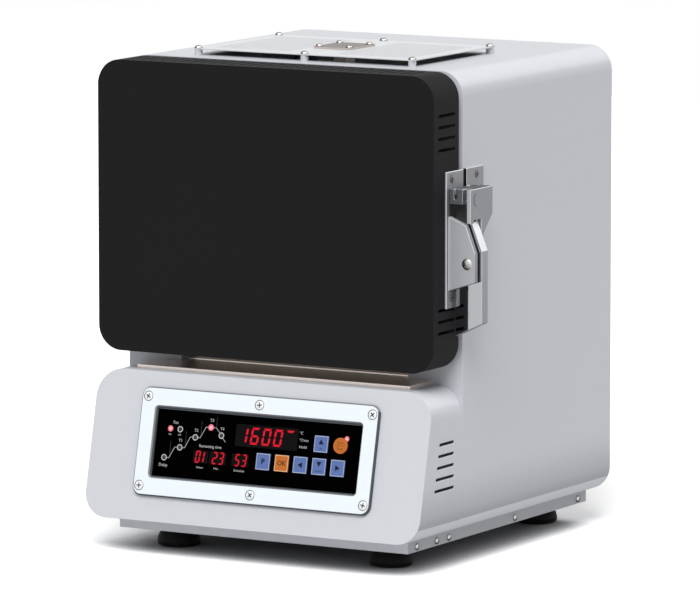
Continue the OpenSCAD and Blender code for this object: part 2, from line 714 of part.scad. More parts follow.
module fan_rotor() in_frame() color("#2c2d30") translate([fan_x, fan_y0, fan_z]) rotate([-90, 0, 0]) {
    cylinder(h = mount_t + 1, r = shaft_r);
    translate([0, 0, mount_t + 1 - eps]) cylinder(h = fan_d - mount_t - 3, r = hub_r);
    intersection() {
        for (i = [0 : blades - 1]) rotate([0, 0, i * 360 / blades]) translate([0, 0, mount_t + fan_d / 2 - 2])
            rotate([38, 0, 0]) translate([hub_r - 3, -13, -0.9]) cube([rotor_r - hub_r + 10, 26, 1.8]);
        translate([0, 0, mount_t + 1]) cylinder(h = fan_d - mount_t - 3, r = rotor_r);
    }
}

guard_wire = 2;

// rings and spokes of wire in front of the fan's opening, with four screw eyes
module fan_guard() in_frame() color(steel) translate([fan_x, cabinet_d, fan_z]) rotate([-90, 0, 0]) {
    for (r = [12 : 8.5 : fan_r]) translate([0, 0, guard_wire]) rotate_extrude() translate([r, 0])
        circle(guard_wire / 2, $fn = 16);
    for (a = [45 : 90 : 315]) rotate([0, 0, a]) {
        translate([10, -1, 0]) cube([sqrt(2) * (fan_side / 2 - 5) - 10, 2, guard_wire]);
        translate([sqrt(2) * (fan_side / 2 - 5), 0, 0]) difference() {
            cylinder(h = guard_wire, r = 4.6);
            translate([0, 0, -1]) cylinder(h = guard_wire + 2, r = 2.1);
        }
    }
}

blade_pins = [[-7, 0.8], [7, 0.8], [0, 3.6]];
inlet_flange = 2;
inlet_wall = 1.4;
inlet_depth = 17;

module power_inlet() in_frame() color(black) translate([inlet_x, 0, inlet_z]) {
    difference() {
        union() {
            run_y(cabinet_d, cabinet_d + inlet_flange) plate2d(50, inlet_h + 4, 6);
            run_y(cabinet_d - inlet_depth - 2, cabinet_d + eps)
                square([inlet_w - 0.4, inlet_h - 0.4], center = true);
        }
        run_y(cabinet_d - inlet_depth, cabinet_d + inlet_flange + 1)
            square([inlet_w - 2 * inlet_wall, inlet_h - 2 * inlet_wall], center = true);
        for (s = [-1, 1]) translate([s * 20, cabinet_d - 1, 0]) rotate([-90, 0, 0]) cylinder(h = 5, r = 1.7);
    }
    for (p = blade_pins) translate([p[0] - 1, cabinet_d - inlet_depth - eps, p[1] - 2]) cube([2, inlet_depth - 3, 4]);
}

rocker_w = 15;
rocker_l = 22;
rocker_pivot = -2;
rocker_tilt = 6;

module switch_frame() in_frame() color(black) translate([switch_x, cabinet_d, inlet_z]) difference() {
    union() {
        run_y(0, 2) plate2d(switch_w + 2, switch_h + 2, 2);
        run_y(-14, eps) square([switch_w - 3, switch_h - 3], center = true);
    }
    run_y(-12, 3) square([rocker_w + 1, rocker_l + 3.4], center = true);
    translate([-switch_w, rocker_pivot, 0]) rotate([0, 90, 0]) cylinder(h = 2 * switch_w, r = 1.5 + pin_clear);
}

// rocker that rests with its lower end out, turning on two short pins
module power_switch() in_frame() color("#141415") translate([switch_x, cabinet_d + rocker_pivot, inlet_z]) {
    rotate([rocker_tilt, 0, 0]) run_x(-rocker_w / 2, rocker_w / 2)
        polygon([[-4, -8], [4.6, -rocker_l / 2], [3.4, 0], [4.6, rocker_l / 2], [-4, 8]]);
    translate([-(switch_w - 3) / 2, 0, 0]) rotate([0, 90, 0]) cylinder(h = switch_w - 3, r = 1.5);
}

// Hinges

hinge_x = -side_x - hinge_off;
hinge_y = -door_gap / 2;
hinge_zs = [cab_top - hinge_drop, cab_top - hinge_drop - hinge_span];
knuckle_h = hinge_h * 0.3;
leaf_clear = knuckle_r + 1;

module knuckle(z0, z1, r) translate([hinge_x, hinge_y, z0]) difference() {
    cylinder(h = z1 - z0, r = knuckle_r);
    translate([0, 0, -1]) cylinder(h = z1 - z0 + 2, r = r);
}

module hinge_cabinet_leaves() in_frame() color(steel) for (z = hinge_zs) difference() {
    union() {
        block([-side_x - leaf_t, hinge_y, z - hinge_h / 2], [-side_x, leaf_l, z + hinge_h / 2]);
        knuckle(z - hinge_h / 2, z - hinge_h / 2 + knuckle_h, hinge_pin_r);
        knuckle(z + hinge_h / 2 - knuckle_h, z + hinge_h / 2, hinge_pin_r);
    }
    block([-side_x - leaf_t - 1, hinge_y - 1, z - hinge_h / 2 + knuckle_h],
        [-side_x + 1, hinge_y + leaf_clear, z + hinge_h / 2 - knuckle_h]);
    for (s = [-1, 1]) translate([hinge_x, hinge_y, z + s * hinge_h / 2 - 50]) cylinder(h = 100, r = hinge_pin_r);
    for (s = [-1, 1]) translate([-side_x - 5, leaf_l - 8, z + s * hinge_h / 4]) rotate([0, 90, 0])
        cylinder(h = 10, r = 2.1);
}

module hinge_door_leaves() in_frame() color(steel) for (z = hinge_zs) difference() {
    union() {
        block([-side_x - leaf_t, -door_gap - leaf_l, z - hinge_h / 2], [-side_x, hinge_y, z + hinge_h / 2]);
        knuckle(z - hinge_h / 2 + knuckle_h + gap, z + hinge_h / 2 - knuckle_h - gap, hinge_pin_r + pin_clear);
    }
    for (s = [-1, 1]) block([-side_x - leaf_t - 1, hinge_y - leaf_clear, z + s * hinge_h / 2 - knuckle_h - gap],
        [-side_x + 1, 1, z + s * hinge_h / 2 + knuckle_h + gap]);
    translate([hinge_x, hinge_y, z - hinge_h]) cylinder(h = 2 * hinge_h, r = hinge_pin_r + pin_clear);
    for (s = [-1, 1]) translate([-side_x - 5, -door_gap - leaf_l + 8, z + s * hinge_h / 4]) rotate([0, 90, 0])
        cylinder(h = 10, r = 2.1);
}

module hinge_pins() in_frame() color("#8f9398") for (z = hinge_zs) translate([hinge_x, hinge_y, z]) {
    translate([0, 0, -hinge_h / 2]) cylinder(h = hinge_h, r = hinge_pin_r);
    translate([0, 0, hinge_h / 2]) dome(8, 2.2);
    translate([0, 0, -hinge_h / 2]) rotate([180, 0, 0]) dome(8, 2.2);
}

// Door

door_back = -door_gap;
door_in = door_back - door_sheet;
block_w = 224;
block_z0 = tray_z + 31;
block_z1 = recess_top - 22;
neck_w = 180;
plug_y = cavity_y0 - 6;
slot_ys = [door_front + 9.3, door_front + 9.3 + slot_l];

module door_profile(inset) translate([0, door_z + inset])
    profile(cabinet_w - 2 * inset, door_h - 2 * inset, door_r - inset, door_r - inset);

module door_cover() in_frame() color(black) difference() {
    run_y(door_front, door_back) door_profile(0);
    run_y(door_front + door_sheet, door_back + 1) door_profile(door_sheet);
    for (i = [0 : door_slots - 1]) {
        slot_x(slot_ys[0], slot_ys[1], cab_top - slot_end - i * slot_pitch, cabinet_w);
        slot_x(slot_ys[0], slot_ys[1], door_z + slot_end + i * slot_pitch, cabinet_w);
    }
    for (i = [0 : top_slots - 1]) translate([(i - (top_slots - 1) / 2) * slot_pitch, 0, cab_top - door_sheet - 1])
        linear_extrude(door_sheet + 2) rotate([0, 0, 90]) slot2d(slot_ys[0], slot_ys[1], 0);
}

// steel sheet that closes the back of the door, with a window for the plug's neck
module door_panel() in_frame() color("#a2a5a9") difference() {
    run_y(door_in, door_back) door_profile(door_sheet);
    block([-neck_w / 2, door_in - 1, block_z0 + 22], [neck_w / 2, door_back + 1, block_z1 - 22]);
    for (p = door_points) translate([p[0], door_in - 1, p[1]]) rotate([-90, 0, 0])
        cylinder(h = door_sheet + 2, r = 2.1);
}

door_points = [for (s = [-1, 1], z = [door_z + 26, door_z + door_h / 2, cab_top - 26]) [s * (side_x - 22), z]];

module door_screws() in_frame() color(steel) for (p = door_points) translate([p[0], door_back, p[1]])
    rotate([-90, 0, 0]) pan_screw(7.5, 2.2, 4);

module door_insulation() in_frame() color(fibre) {
    block([-block_w / 2, door_front + 12, block_z0], [block_w / 2, door_in, block_z1]);
    block([-neck_w / 2, door_in - eps, block_z0 + 22], [neck_w / 2, door_back, block_z1 - 22]);
}

seal_t = 4.5;
plate_y = recess_d - seal_t - gap;
plug_low = mouth_z0 + 6;
plug_high = mouth_z1 - 6;
plug_w0 = mouth_w - 16;
plug_w1 = mouth_w - 26;

// stepped plug: a broad board in the recess and a tapered nose in the mouth
module door_plug() in_frame() color(fibre) {
    block([-block_w / 2, door_back, block_z0], [block_w / 2, plate_y, block_z1]);
    translate([0, 0, plug_low]) linear_extrude(plug_high - plug_low) polygon([[-plug_w0 / 2, plate_y - eps],
        [plug_w0 / 2, plate_y - eps], [plug_w1 / 2, plug_y], [-plug_w1 / 2, plug_y]]);
}

module door_gasket() in_frame() color("#d8d3c8") run_y(plate_y, plate_y + seal_t)
    translate([0, (mouth_z0 + mouth_z1) / 2]) difference() {
        plate2d(mouth_w + 44, mouth_h + 44, 16);
        plate2d(mouth_w + 24, mouth_h + 24, 8);
    }

// Latch

latch_z = cab_top - latch_drop;
latch_z0 = latch_z - latch_h / 2;
latch_z1 = latch_z + latch_h / 2;
plate_y1 = -door_gap + latch_over;
plate_y0 = plate_y1 - latch_plate_w;
pivot = [22.2, latch_z0 + pivot_up];
claw_y0 = plate_y0 + 4.9;
cheek_t = 6.5;
ear_t = 1.6;
handle_y0 = claw_y0 + cheek_t + ear_t + 2 * gap;
handle_y1 = handle_y0 + handle_w;
rear_ear_y = handle_y1 + gap;
rear_ear_t = 2;
rear_cheek_y = rear_ear_y + rear_ear_t + gap;
rear_cheek_t = 3;
claw_pivot = [11.5, pivot[1] + 30.3];
claw_pin_r = 2.5;
bar_z0 = pivot[1] + 58.3;
bar_z1 = bar_z0 + 15;
web_x0 = 22;
web_x1 = 26;
keeper_y = 3.8;
ridge_y0 = keeper_y + 1.7;
ridge_y1 = ridge_y0 + 4.5;
nose_y = ridge_y1 + gap;
claw_y1 = nose_y + 3.2;
stud_x = 9.5;
stud_r = 1.7;
stud_z = bar_z0 + 4.5;
plate_screws = [latch_z0 + 10.3, latch_z1 - 7.5];
screw_in = 10.9;
door_screw_points = [for (z = plate_screws) [plate_y0 + screw_in, z]];
blind = 1.5;

// a 2-D shape in X from the cabinet side and Z, carried along Y
module latch_run(y0, y1) translate([side_x, 0, 0]) run_y(y0, y1) children();
module latch_pin(at, y0, y1, r) translate([side_x + at[0], y0, at[1]]) rotate([-90, 0, 0]) cylinder(h = y1 - y0, r = r);

// the door's plate with a thick front cheek and a thin rear cheek
module latch_base() in_frame() color(steel) difference() {
    union() {
        block([side_x, plate_y0, latch_z0], [side_x + latch_t, plate_y1, latch_z1]);
        latch_run(claw_y0, claw_y0 + cheek_t) polygon([[latch_t - eps, pivot[1] - 27.5], [31, pivot[1] - 18],
            [31, pivot[1] + 10.7], [20.4, pivot[1] + 38.1], [latch_t - eps, pivot[1] + 45.5]]);
        latch_run(rear_cheek_y, rear_cheek_y + rear_cheek_t) polygon([[latch_t - eps, pivot[1] - 27.5],
            [29, pivot[1] - 18], [29, pivot[1] + 5], [13.5, pivot[1] + 36], [latch_t - eps, pivot[1] + 42]]);
    }
    latch_pin(pivot, plate_y0, 10, pivot_r);
    latch_pin(claw_pivot, claw_y0 + blind, 10, claw_pin_r);
    for (p = door_screw_points) translate([side_x - 1, p[0], p[1]]) rotate([0, 90, 0])
        cylinder(h = latch_t + 2, r = 2.1);
}

// the handle's rivet, and two short pins for the claw on each side of the handle
module latch_pins() in_frame() color("#c4c7ca") {
    latch_pin(pivot, claw_y0, rear_cheek_y + rear_cheek_t, pivot_r);
    translate([side_x + pivot[0], claw_y0, pivot[1]]) rotate([90, 0, 0]) dome(11, handle_rivet);
    translate([side_x + pivot[0], rear_cheek_y + rear_cheek_t, pivot[1]]) rotate([-90, 0, 0]) dome(9, handle_rivet);
    latch_pin(claw_pivot, claw_y0 + blind, claw_y0 + cheek_t + gap + ear_t, claw_pin_r);
    latch_pin(claw_pivot, rear_ear_y, rear_cheek_y + rear_cheek_t, claw_pin_r);
}

module flush_screw(y, z) translate([side_x + latch_t, y, z]) rotate([0, 90, 0]) difference() {
    union() {
        cylinder(h = 0.5, r = 4);
        translate([0, 0, -latch_t]) cylinder(h = latch_t + eps, r = 2);
    }
    for (a = [0, 90]) rotate([0, 0, a]) translate([-2, -0.5, 0.1]) cube([4, 1, 1]);
}
module latch_screws() in_frame() color("#9fa2a6") for (p = door_screw_points) flush_screw(p[0], p[1]);
module keeper_screws() in_frame() color("#9fa2a6") for (z = plate_screws) flush_screw(keeper_y + keeper_w - 14.3, z);

// the cabinet's plate with the ridge that the claw hooks behind
module keeper_plate() in_frame() color(steel) difference() {
    union() {
        block([side_x, keeper_y, latch_z0], [side_x + latch_t, keeper_y + keeper_w, latch_z1]);
        block([side_x, ridge_y0, bar_z0 - 4], [side_x + 11.5, ridge_y1, bar_z1 - 1]);
    }
    for (z = plate_screws) translate([side_x - 1, keeper_y + keeper_w - 14.3, z]) rotate([0, 90, 0])
        cylinder(h = latch_t + 2, r = 2.1);
}

handle_top = pivot[1] + 40.3;
handle_low = pivot[1] - 59.2;
handle_tip = handle_x - 11.2;
web_t = 2.5;

// U-shaped lever: a bent web with two flanges
module latch_handle() in_frame() color("#bfc2c5") difference() {
    latch_run(handle_y0, handle_y1) polygon([[handle_x, handle_low], [handle_x, pivot[1] + 12.3],
        [handle_tip, handle_top], [handle_tip - web_t + 0.2, handle_top - 1], [16.5, pivot[1] + 22],
        [13.5, pivot[1] + 8], [5, pivot[1] - 22], [5, handle_low - 13.8]]);
    latch_run(handle_y0 + 2, handle_y1 - 2) polygon([[handle_x - web_t, handle_low - 40],
        [handle_x - web_t, pivot[1] + 11.7], [handle_tip - web_t, handle_top - 1], [0, handle_top],
        [0, handle_low - 40]]);
    latch_pin(pivot, handle_y0 - 1, handle_y1 + 1, pivot_r + pin_clear);
}

module claw_ear(y0, y1) latch_run(y0, y1) difference() {
    polygon([[claw_pivot[0] - 5, claw_pivot[1] - 4], [claw_pivot[0] + 5, claw_pivot[1] - 4],
        [claw_pivot[0] + 7, claw_pivot[1] + 8], [web_x0 + eps, claw_pivot[1] + 15], [web_x0 + eps, bar_z0 + 3],
        [9, bar_z0 + 3], [claw_pivot[0] - 6.5, claw_pivot[1] + 8]]);
    translate(claw_pivot) circle(claw_pin_r + pin_clear);
}

// the claw: outer plate, bar with a nose behind the keeper's ridge, and two ears on the pins
module latch_claw() in_frame() color("#a9acb0") {
    translate([side_x, 0, 0]) run_x(web_x0, web_x1) polygon([[claw_y0, bar_z1], [claw_y1, bar_z1],
        [claw_y1, bar_z0 - 12], [rear_ear_y + 6, pivot[1] + 28.1], [rear_ear_y + 0.7, pivot[1] + 28.1],
        [rear_ear_y + 0.7, pivot[1] + 42.6], [handle_y0 - 1, pivot[1] + 42.6], [handle_y0 - 1, pivot[1] + 39.8],
        [claw_y0, pivot[1] + 39.8]]);
    difference() {
        translate([side_x, 0, bar_z0]) linear_extrude(bar_z1 - bar_z0) polygon([[2.6, claw_y0], [17.2, claw_y0],
            [17.2, claw_y0 + 8], [web_x0 + eps, claw_y0 + 10], [web_x0 + eps, claw_y1], [2.6, claw_y1],
            [2.6, nose_y], [12.6, nose_y], [12.6, ridge_y0 - 2], [2.6, ridge_y0 - 8]]);
        block([side_x + stud_x - stud_r - 0.2, claw_y0 - 1, stud_z],
            [side_x + stud_x + stud_r + 0.2, claw_y0 + 2 * stud_r + 0.2, bar_z1 + 1]);
    }
    claw_ear(claw_y0 + cheek_t + gap, claw_y0 + cheek_t + gap + ear_t);
    claw_ear(rear_ear_y, rear_ear_y + rear_ear_t);
}

// the rivet through the claw's plate and the grooved stud that stands in the notch of its bar
module claw_fasteners() in_frame() color("#c9ccce") {
    translate([side_x + web_x1, claw_y0 + 14, bar_z0 + 4]) rotate([0, 90, 0]) cylinder(h = 0.5, r = 6.85);
    translate([side_x + stud_x, claw_y0 + stud_r, stud_z]) rotate_extrude() polygon([[0, 0], [stud_r, 0],
        [stud_r, 1.6], [stud_r - 0.6, 1.9], [stud_r - 0.6, 2.5], [stud_r, 2.8], [stud_r, 4.9],
        [stud_r - 0.5, 5.4], [0, 5.4]]);
}

base_pan();
front_feet();
rear_feet();
base_screws();
cabinet_shell();
front_frame();
rear_panel();
rear_screws();
console_shell();
heat_tray();
bezel();
bezel_screws();
control_panel();
display_windows();
control_board();
vent_cover();
vent_posts();
vent_screws();
probe_plate();
probe_screws();
thermocouple();
deck();
chamber_casing();
mouth_frame();
insulation();
hearth_plate();
heating_elements();
element_straps();
transformer();
power_module();
fan_housing();
fan_guard();
power_inlet();
switch_frame();
keeper_plate();
keeper_screws();
hinge_cabinet_leaves();
hinge_pins();
door_cover();
door_panel();
door_screws();
door_insulation();
door_plug();
door_gasket();
hinge_door_leaves();
latch_base();
latch_pins();
latch_screws();
latch_handle();
latch_claw();
claw_fasteners();
key_p();
key_ok();
key_left();
key_down();
key_right();
key_up();
key_start();
fan_rotor();
power_switch();
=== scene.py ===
# Bench-top dental furnace: finishes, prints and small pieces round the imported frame
import json
import math

import bmesh
import bpy
from mathutils import Matrix, Vector


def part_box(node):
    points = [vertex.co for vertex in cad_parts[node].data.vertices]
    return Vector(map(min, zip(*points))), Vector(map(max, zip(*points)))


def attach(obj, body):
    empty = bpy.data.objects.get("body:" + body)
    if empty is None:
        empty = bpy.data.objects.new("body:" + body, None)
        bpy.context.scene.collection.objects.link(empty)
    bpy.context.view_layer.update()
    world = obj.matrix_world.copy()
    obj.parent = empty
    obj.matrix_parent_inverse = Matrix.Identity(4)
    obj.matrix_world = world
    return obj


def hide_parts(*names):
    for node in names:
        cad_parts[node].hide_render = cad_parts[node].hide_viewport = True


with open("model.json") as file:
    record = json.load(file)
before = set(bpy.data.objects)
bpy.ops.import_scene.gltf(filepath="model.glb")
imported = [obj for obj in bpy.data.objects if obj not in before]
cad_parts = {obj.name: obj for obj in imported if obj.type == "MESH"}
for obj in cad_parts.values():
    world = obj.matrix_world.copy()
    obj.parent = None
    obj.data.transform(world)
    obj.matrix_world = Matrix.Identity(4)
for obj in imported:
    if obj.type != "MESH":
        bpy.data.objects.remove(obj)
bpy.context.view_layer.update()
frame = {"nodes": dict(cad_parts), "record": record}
nodes = frame["nodes"]
record = frame["record"]
mm = 0.001
merge = 1e-6  # points that are this close are one, in metres
bodyOf = {node: body for body, group in record["behaviour"]["bodies"].items() for node in group}
slotOf = {part["node"]: part["material_slot"] for part in record["subparts"]}
print("frame loaded:", len(nodes), "nodes")

# The cabinet's centre plane and front face are where the photograph was measured from
cabinetLow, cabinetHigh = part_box("cabinet_shell")
origin = Vector(((cabinetLow.x + cabinetHigh.x) / 2, cabinetLow.y, 0))


def place(x, y, z):
    return origin + Vector((x, y, z)) * mm


def addObject(name, data):
    made = bpy.data.objects.new(name, data)
    bpy.context.collection.objects.link(made)
    return made


# A node in a shader or geometry tree, with its settings and the values of its free inputs
def addNode(tree, kind, inputs=None, **settings):
    node = tree.nodes.new(kind)
    for name, value in settings.items():
        setattr(node, name, value)
    for socket, value in (inputs or {}).items():
        node.inputs[socket].default_value = value
    return node


# Camera, as the photograph was taken
cameraSetup = {"spot": (3422.9, -5871.9, 1159.6), "heading": 29.765, "pitch": 7.576, "lens": 353.3,
               "sensor": 36, "far": 100}
cameraData = bpy.data.cameras.new("camera")
cameraData.sensor_width = cameraSetup["sensor"]
cameraData.lens = cameraSetup["lens"]
cameraData.clip_end = cameraSetup["far"]
camera = addObject("camera", cameraData)
camera.location = place(*cameraSetup["spot"])
camera.rotation_euler = (math.radians(90 - cameraSetup["pitch"]), 0, math.radians(cameraSetup["heading"]))
bpy.context.scene.camera = camera
bpy.context.scene.view_settings.view_transform = "Standard"


# Finishes: first what those of one kind share, then each one

whiteCoat = {"roughness": 0.45, "specular": 0.3, "cloud": 0.02, "cloudScale": 190, "grain": 330,
             "grainHeight": 0.03}
# painted highlight: the white paint keeps its full colour on faces turned up and to +X, as on the top right
# curve, and is darker on all others
whitePaintedHighlight = {"from": (0.64, 0, 0.76), "dark": 0.8, "light": 1.0, "least": 0.86}
probeMetal = {"metallic": 0.2, "roughness": 0.45, "grain": 300}
bezelEdge = {"metallic": 0.4, "roughness": 0.4, "cloudScale": 40, "grainHeight": 0.002, "spread": 0.04}
brushed = {"cloud": 0.02, "grain": 90, "grainHeight": 0.002, "stretch": (16, 16, 1)}
keyFoil = {"roughness": 0.4, "specular": 0.3, "cloud": 0.04, "cloudScale": 70, "grain": 1400,
           "grainHeight": 0.006, "spread": 0.04}
panelInk = {"roughness": 0.6, "specular": 0.1, "cloud": 0.1, "cloudScale": 300, "grain": 1500,
            "grainHeight": 0.003}
keyInk = {"roughness": 0.5, "specular": 0.2, "cloudScale": 200, "grain": 1500, "grainHeight": 0.003}
lampFilm = {"roughness": 0.35, "specular": 0.2, "cloudScale": 200, "grain": 900, "grainHeight": 0.01,
            "spread": 0.03}
finishes = {
    "white_paint": {**whiteCoat, "color": (0.76, 0.778, 0.824), "rim": whitePaintedHighlight},
    # painted shade: a darker copy of the white paint for the +X sides, darker still towards the bench
    "white_side_painted_shade": {**whiteCoat, "color": (0.72, 0.738, 0.785), "rim": whitePaintedHighlight,
                   "paintedBenchShade": {"low": 22, "high": 105, "least": 0.52}},
    # painted shade: a dark copy of the white paint for the base pan's +X side
    "pan_side_painted_shade": {**whiteCoat, "color": (0.44, 0.45, 0.475)},
    "probe_top": {**probeMetal, "color": (0.175, 0.15, 0.14), "cloud": 0.3},
    "probe_edge": {**probeMetal, "color": (0.56, 0.49, 0.45), "cloud": 0.1},
    "probe_head": {**probeMetal, "color": (0.55, 0.56, 0.57), "cloud": 0.1},
    # painted reflection: the black paint is lighter on faces turned to +X and darker on all others
    "black_paint": {"color": (0.0215, 0.0215, 0.0232), "roughness": 0.6, "specular": 0.04, "cloudScale": 6,
                    "grain": 1100, "grainHeight": 0.02,
                    "rim": {"from": (1, 0, 0), "dark": 0.2, "light": 0.95, "least": 0.67}},
    "rubber": {"color": (0.0045, 0.0045, 0.005), "roughness": 0.62, "specular": 0.15, "cloud": 0.15,
               "cloudScale": 40, "grain": 500, "grainHeight": 0.02},
    # also painted shade on the latch keeper's front faces
    "seal_black": {"color": (0.003, 0.003, 0.0035), "roughness": 0.7, "specular": 0.1, "cloud": 0.1},
    # painted shade: the dark sheet under the latch claw
    "shade_sheet_black": {"color": (0.035, 0.035, 0.037), "roughness": 0.5, "specular": 0.2, "cloud": 0.3,
                  "cloudScale": 90},
    "tray_steel": {"color": (0.96, 0.86, 0.79), "metallic": 0.9, "roughness": 0.3, "cloud": 0.06,
                   "cloudScale": 9, "grain": 60, "grainHeight": 0.0015, "stretch": (1, 14, 14)},
    "bezel_aluminium": {"color": (0.88, 0.95, 0.99), "metallic": 0.5, "roughness": 0.35, "cloud": 0.01,
                        "cloudScale": 15, "grain": 90, "grainHeight": 0.002, "stretch": (1, 22, 22),
                        "spread": 0.04},
    # painted shade on the bezel's outer chamfer and round its opening
    "bezel_rim_painted_shade": {**bezelEdge, "color": (0.07, 0.082, 0.095)},
    "bezel_bevel": {**bezelEdge, "color": (0.27, 0.275, 0.285)},
    # painted shade and reflection: screw heads darken where they turn away from the upper front right
    "screw_steel": {"color": (0.80, 0.79, 0.78), "metallic": 0.9, "roughness": 0.2, "cloud": 0.06,
                    "cloudScale": 120, "grain": 700,
                    "rim": {"from": (0.55, -0.65, 0.33), "dark": 0.5, "light": 0.97, "least": 0.04}},
    "screw_flat": {"color": (0.90, 0.92, 0.93), "metallic": 0.15, "roughness": 0.35, "cloud": 0.06,
                   "cloudScale": 150, "grain": 700},
    "screw_dull": {"color": (0.20, 0.185, 0.185), "metallic": 0.6, "roughness": 0.35, "cloud": 0.5,
                   "cloudScale": 420, "grain": 700, "grainHeight": 0.02, "spread": 0.1},
    # painted shade in the crosses and round the rims of screw heads
    "screw_painted_shade": {"color": (0.035, 0.022, 0.018), "metallic": 0.3, "roughness": 0.6, "cloud": 0.2,
                   "cloudScale": 300, "grain": 700},
    "vent_paint": {"color": (0.74, 0.755, 0.78), "roughness": 0.38, "specular": 0.3, "cloud": 0.02,
                   "grain": 500, "grainHeight": 0.015},
    "latch_steel": {**brushed, "color": (0.30, 0.308, 0.33), "metallic": 0.6, "roughness": 0.45,
                    "cloud": 0.06, "cloudScale": 140, "grainHeight": 0.003, "spread": 0.06},
    # painted light on the latch: lighter, highlighted, shaded and black copies of its steel
    "latch_front_painted_light": {**brushed, "color": (0.455, 0.465, 0.495), "metallic": 0.25, "roughness": 0.5},
    "latch_painted_highlight": {**brushed, "color": (0.93, 0.94, 0.96), "metallic": 0.5, "roughness": 0.3},
    "latch_shade": {**brushed, "color": (0.13, 0.135, 0.145), "metallic": 0.5, "roughness": 0.45,
                    "cloud": 0.08},
    "latch_painted_deep_shade": {"color": (0.02, 0.02, 0.022), "metallic": 0.3, "roughness": 0.5, "cloud": 0.1,
                   "grain": 200, "grainHeight": 0.002},
    "handle_steel": {**brushed, "color": (0.32, 0.328, 0.35), "metallic": 0.6, "roughness": 0.4,
                     "cloud": 0.05, "cloudScale": 80, "grain": 70},
    "handle_mirror": {"color": (0.6, 0.615, 0.645), "metallic": 1.0, "roughness": 0.06, "cloud": 0.02,
                      "grain": 60, "grainHeight": 0.0004, "spread": 0.02},
    "panel_black": {"color": (0.0006, 0.0006, 0.0007), "roughness": 0.4, "specular": 0.0, "cloud": 0.2,
                    "cloudScale": 30, "grain": 1200, "spread": 0.04},
    "display_red": {"color": (0.0082, 0.0078, 0.0078), "roughness": 0.4, "specular": 0.0, "cloud": 0.1,
                    "cloudScale": 80, "grain": 900, "grainHeight": 0.002, "spread": 0.03},
    "board_green": {"color": (0.03, 0.12, 0.05), "roughness": 0.45, "cloud": 0.15, "cloudScale": 90,
                    "grain": 700, "grainHeight": 0.01, "spread": 0.06},
    "key_blue": {**keyFoil, "color": (0.099, 0.166, 0.405)},
    "key_orange": {**keyFoil, "color": (0.54, 0.142, 0.019)},
    "heat_steel": {"color": (0.42, 0.425, 0.43), "metallic": 0.85, "roughness": 0.45, "cloud": 0.14,
                   "cloudScale": 40, "grain": 300, "grainHeight": 0.01, "spread": 0.1},
    "mouth_steel": {"color": (0.31, 0.265, 0.23), "metallic": 1.0, "roughness": 0.28, "cloud": 0.12,
                    "cloudScale": 10, "grain": 60, "stretch": (1, 14, 14), "spread": 0.08},
    "fibre_board": {"color": (0.78, 0.74, 0.66), "roughness": 0.95, "specular": 0.1, "cloud": 0.06,
                    "cloudScale": 35, "grain": 420, "grainHeight": 0.25, "spread": 0.03},
    "hearth_ceramic": {"color": (0.80, 0.77, 0.70), "roughness": 0.7, "specular": 0.3, "cloud": 0.06,
                       "cloudScale": 50, "grain": 800, "grainHeight": 0.06, "spread": 0.08},
    "element_grey": {"color": (0.13, 0.12, 0.115), "roughness": 0.35, "cloud": 0.2, "grainHeight": 0.04,
                     "spread": 0.1},
    "strap_aluminium": {"color": (0.62, 0.63, 0.64), "metallic": 1.0, "roughness": 0.4, "cloud": 0.06,
                        "cloudScale": 40, "grain": 200, "grainHeight": 0.008, "spread": 0.08},
    "transformer_iron": {"color": (0.06, 0.05, 0.045), "roughness": 0.4, "cloud": 0.2, "cloudScale": 40,
                         "grain": 60, "grainHeight": 0.05, "stretch": (1, 40, 1), "spread": 0.1},
    "fan_black": {"color": (0.012, 0.012, 0.013), "roughness": 0.45, "specular": 0.35, "cloud": 0.1,
                  "cloudScale": 50, "grain": 900, "grainHeight": 0.01, "spread": 0.06},
    "guard_wire": {"color": (0.62, 0.62, 0.63), "metallic": 1.0, "roughness": 0.2, "grain": 500},
    "print_white": {**panelInk, "color": (0.52, 0.52, 0.51)},
    "print_grey": {**panelInk, "color": (0.16, 0.16, 0.16)},
    "print_dark": {**panelInk, "color": (0.012, 0.013, 0.03)},
    "print_brown": {**panelInk, "color": (0.17, 0.06, 0.012)},
    "print_pale": {**keyInk, "color": (0.42, 0.46, 0.62)},
    "print_cream": {**keyInk, "color": (0.78, 0.52, 0.30)},
    "digit_red": {"color": (0.10, 0.002, 0.004), "roughness": 0.4, "specular": 0.0, "cloud": 0.04,
                  "cloudScale": 200, "grain": 1500, "grainHeight": 0.002, "spread": 0.03,
                  "glow": (1.0, 0.018, 0.045), "glowStrength": 0.68},
    "lamp_pink": {**lampFilm, "color": (0.55, 0.15, 0.19), "glow": (0.85, 0.17, 0.22), "glowStrength": 0.45},
    "lamp_core": {**lampFilm, "color": (0.8, 0.5, 0.55), "glow": (1.0, 0.55, 0.62), "glowStrength": 0.5},
}
smoothest = 0.02  # no finish is smoother


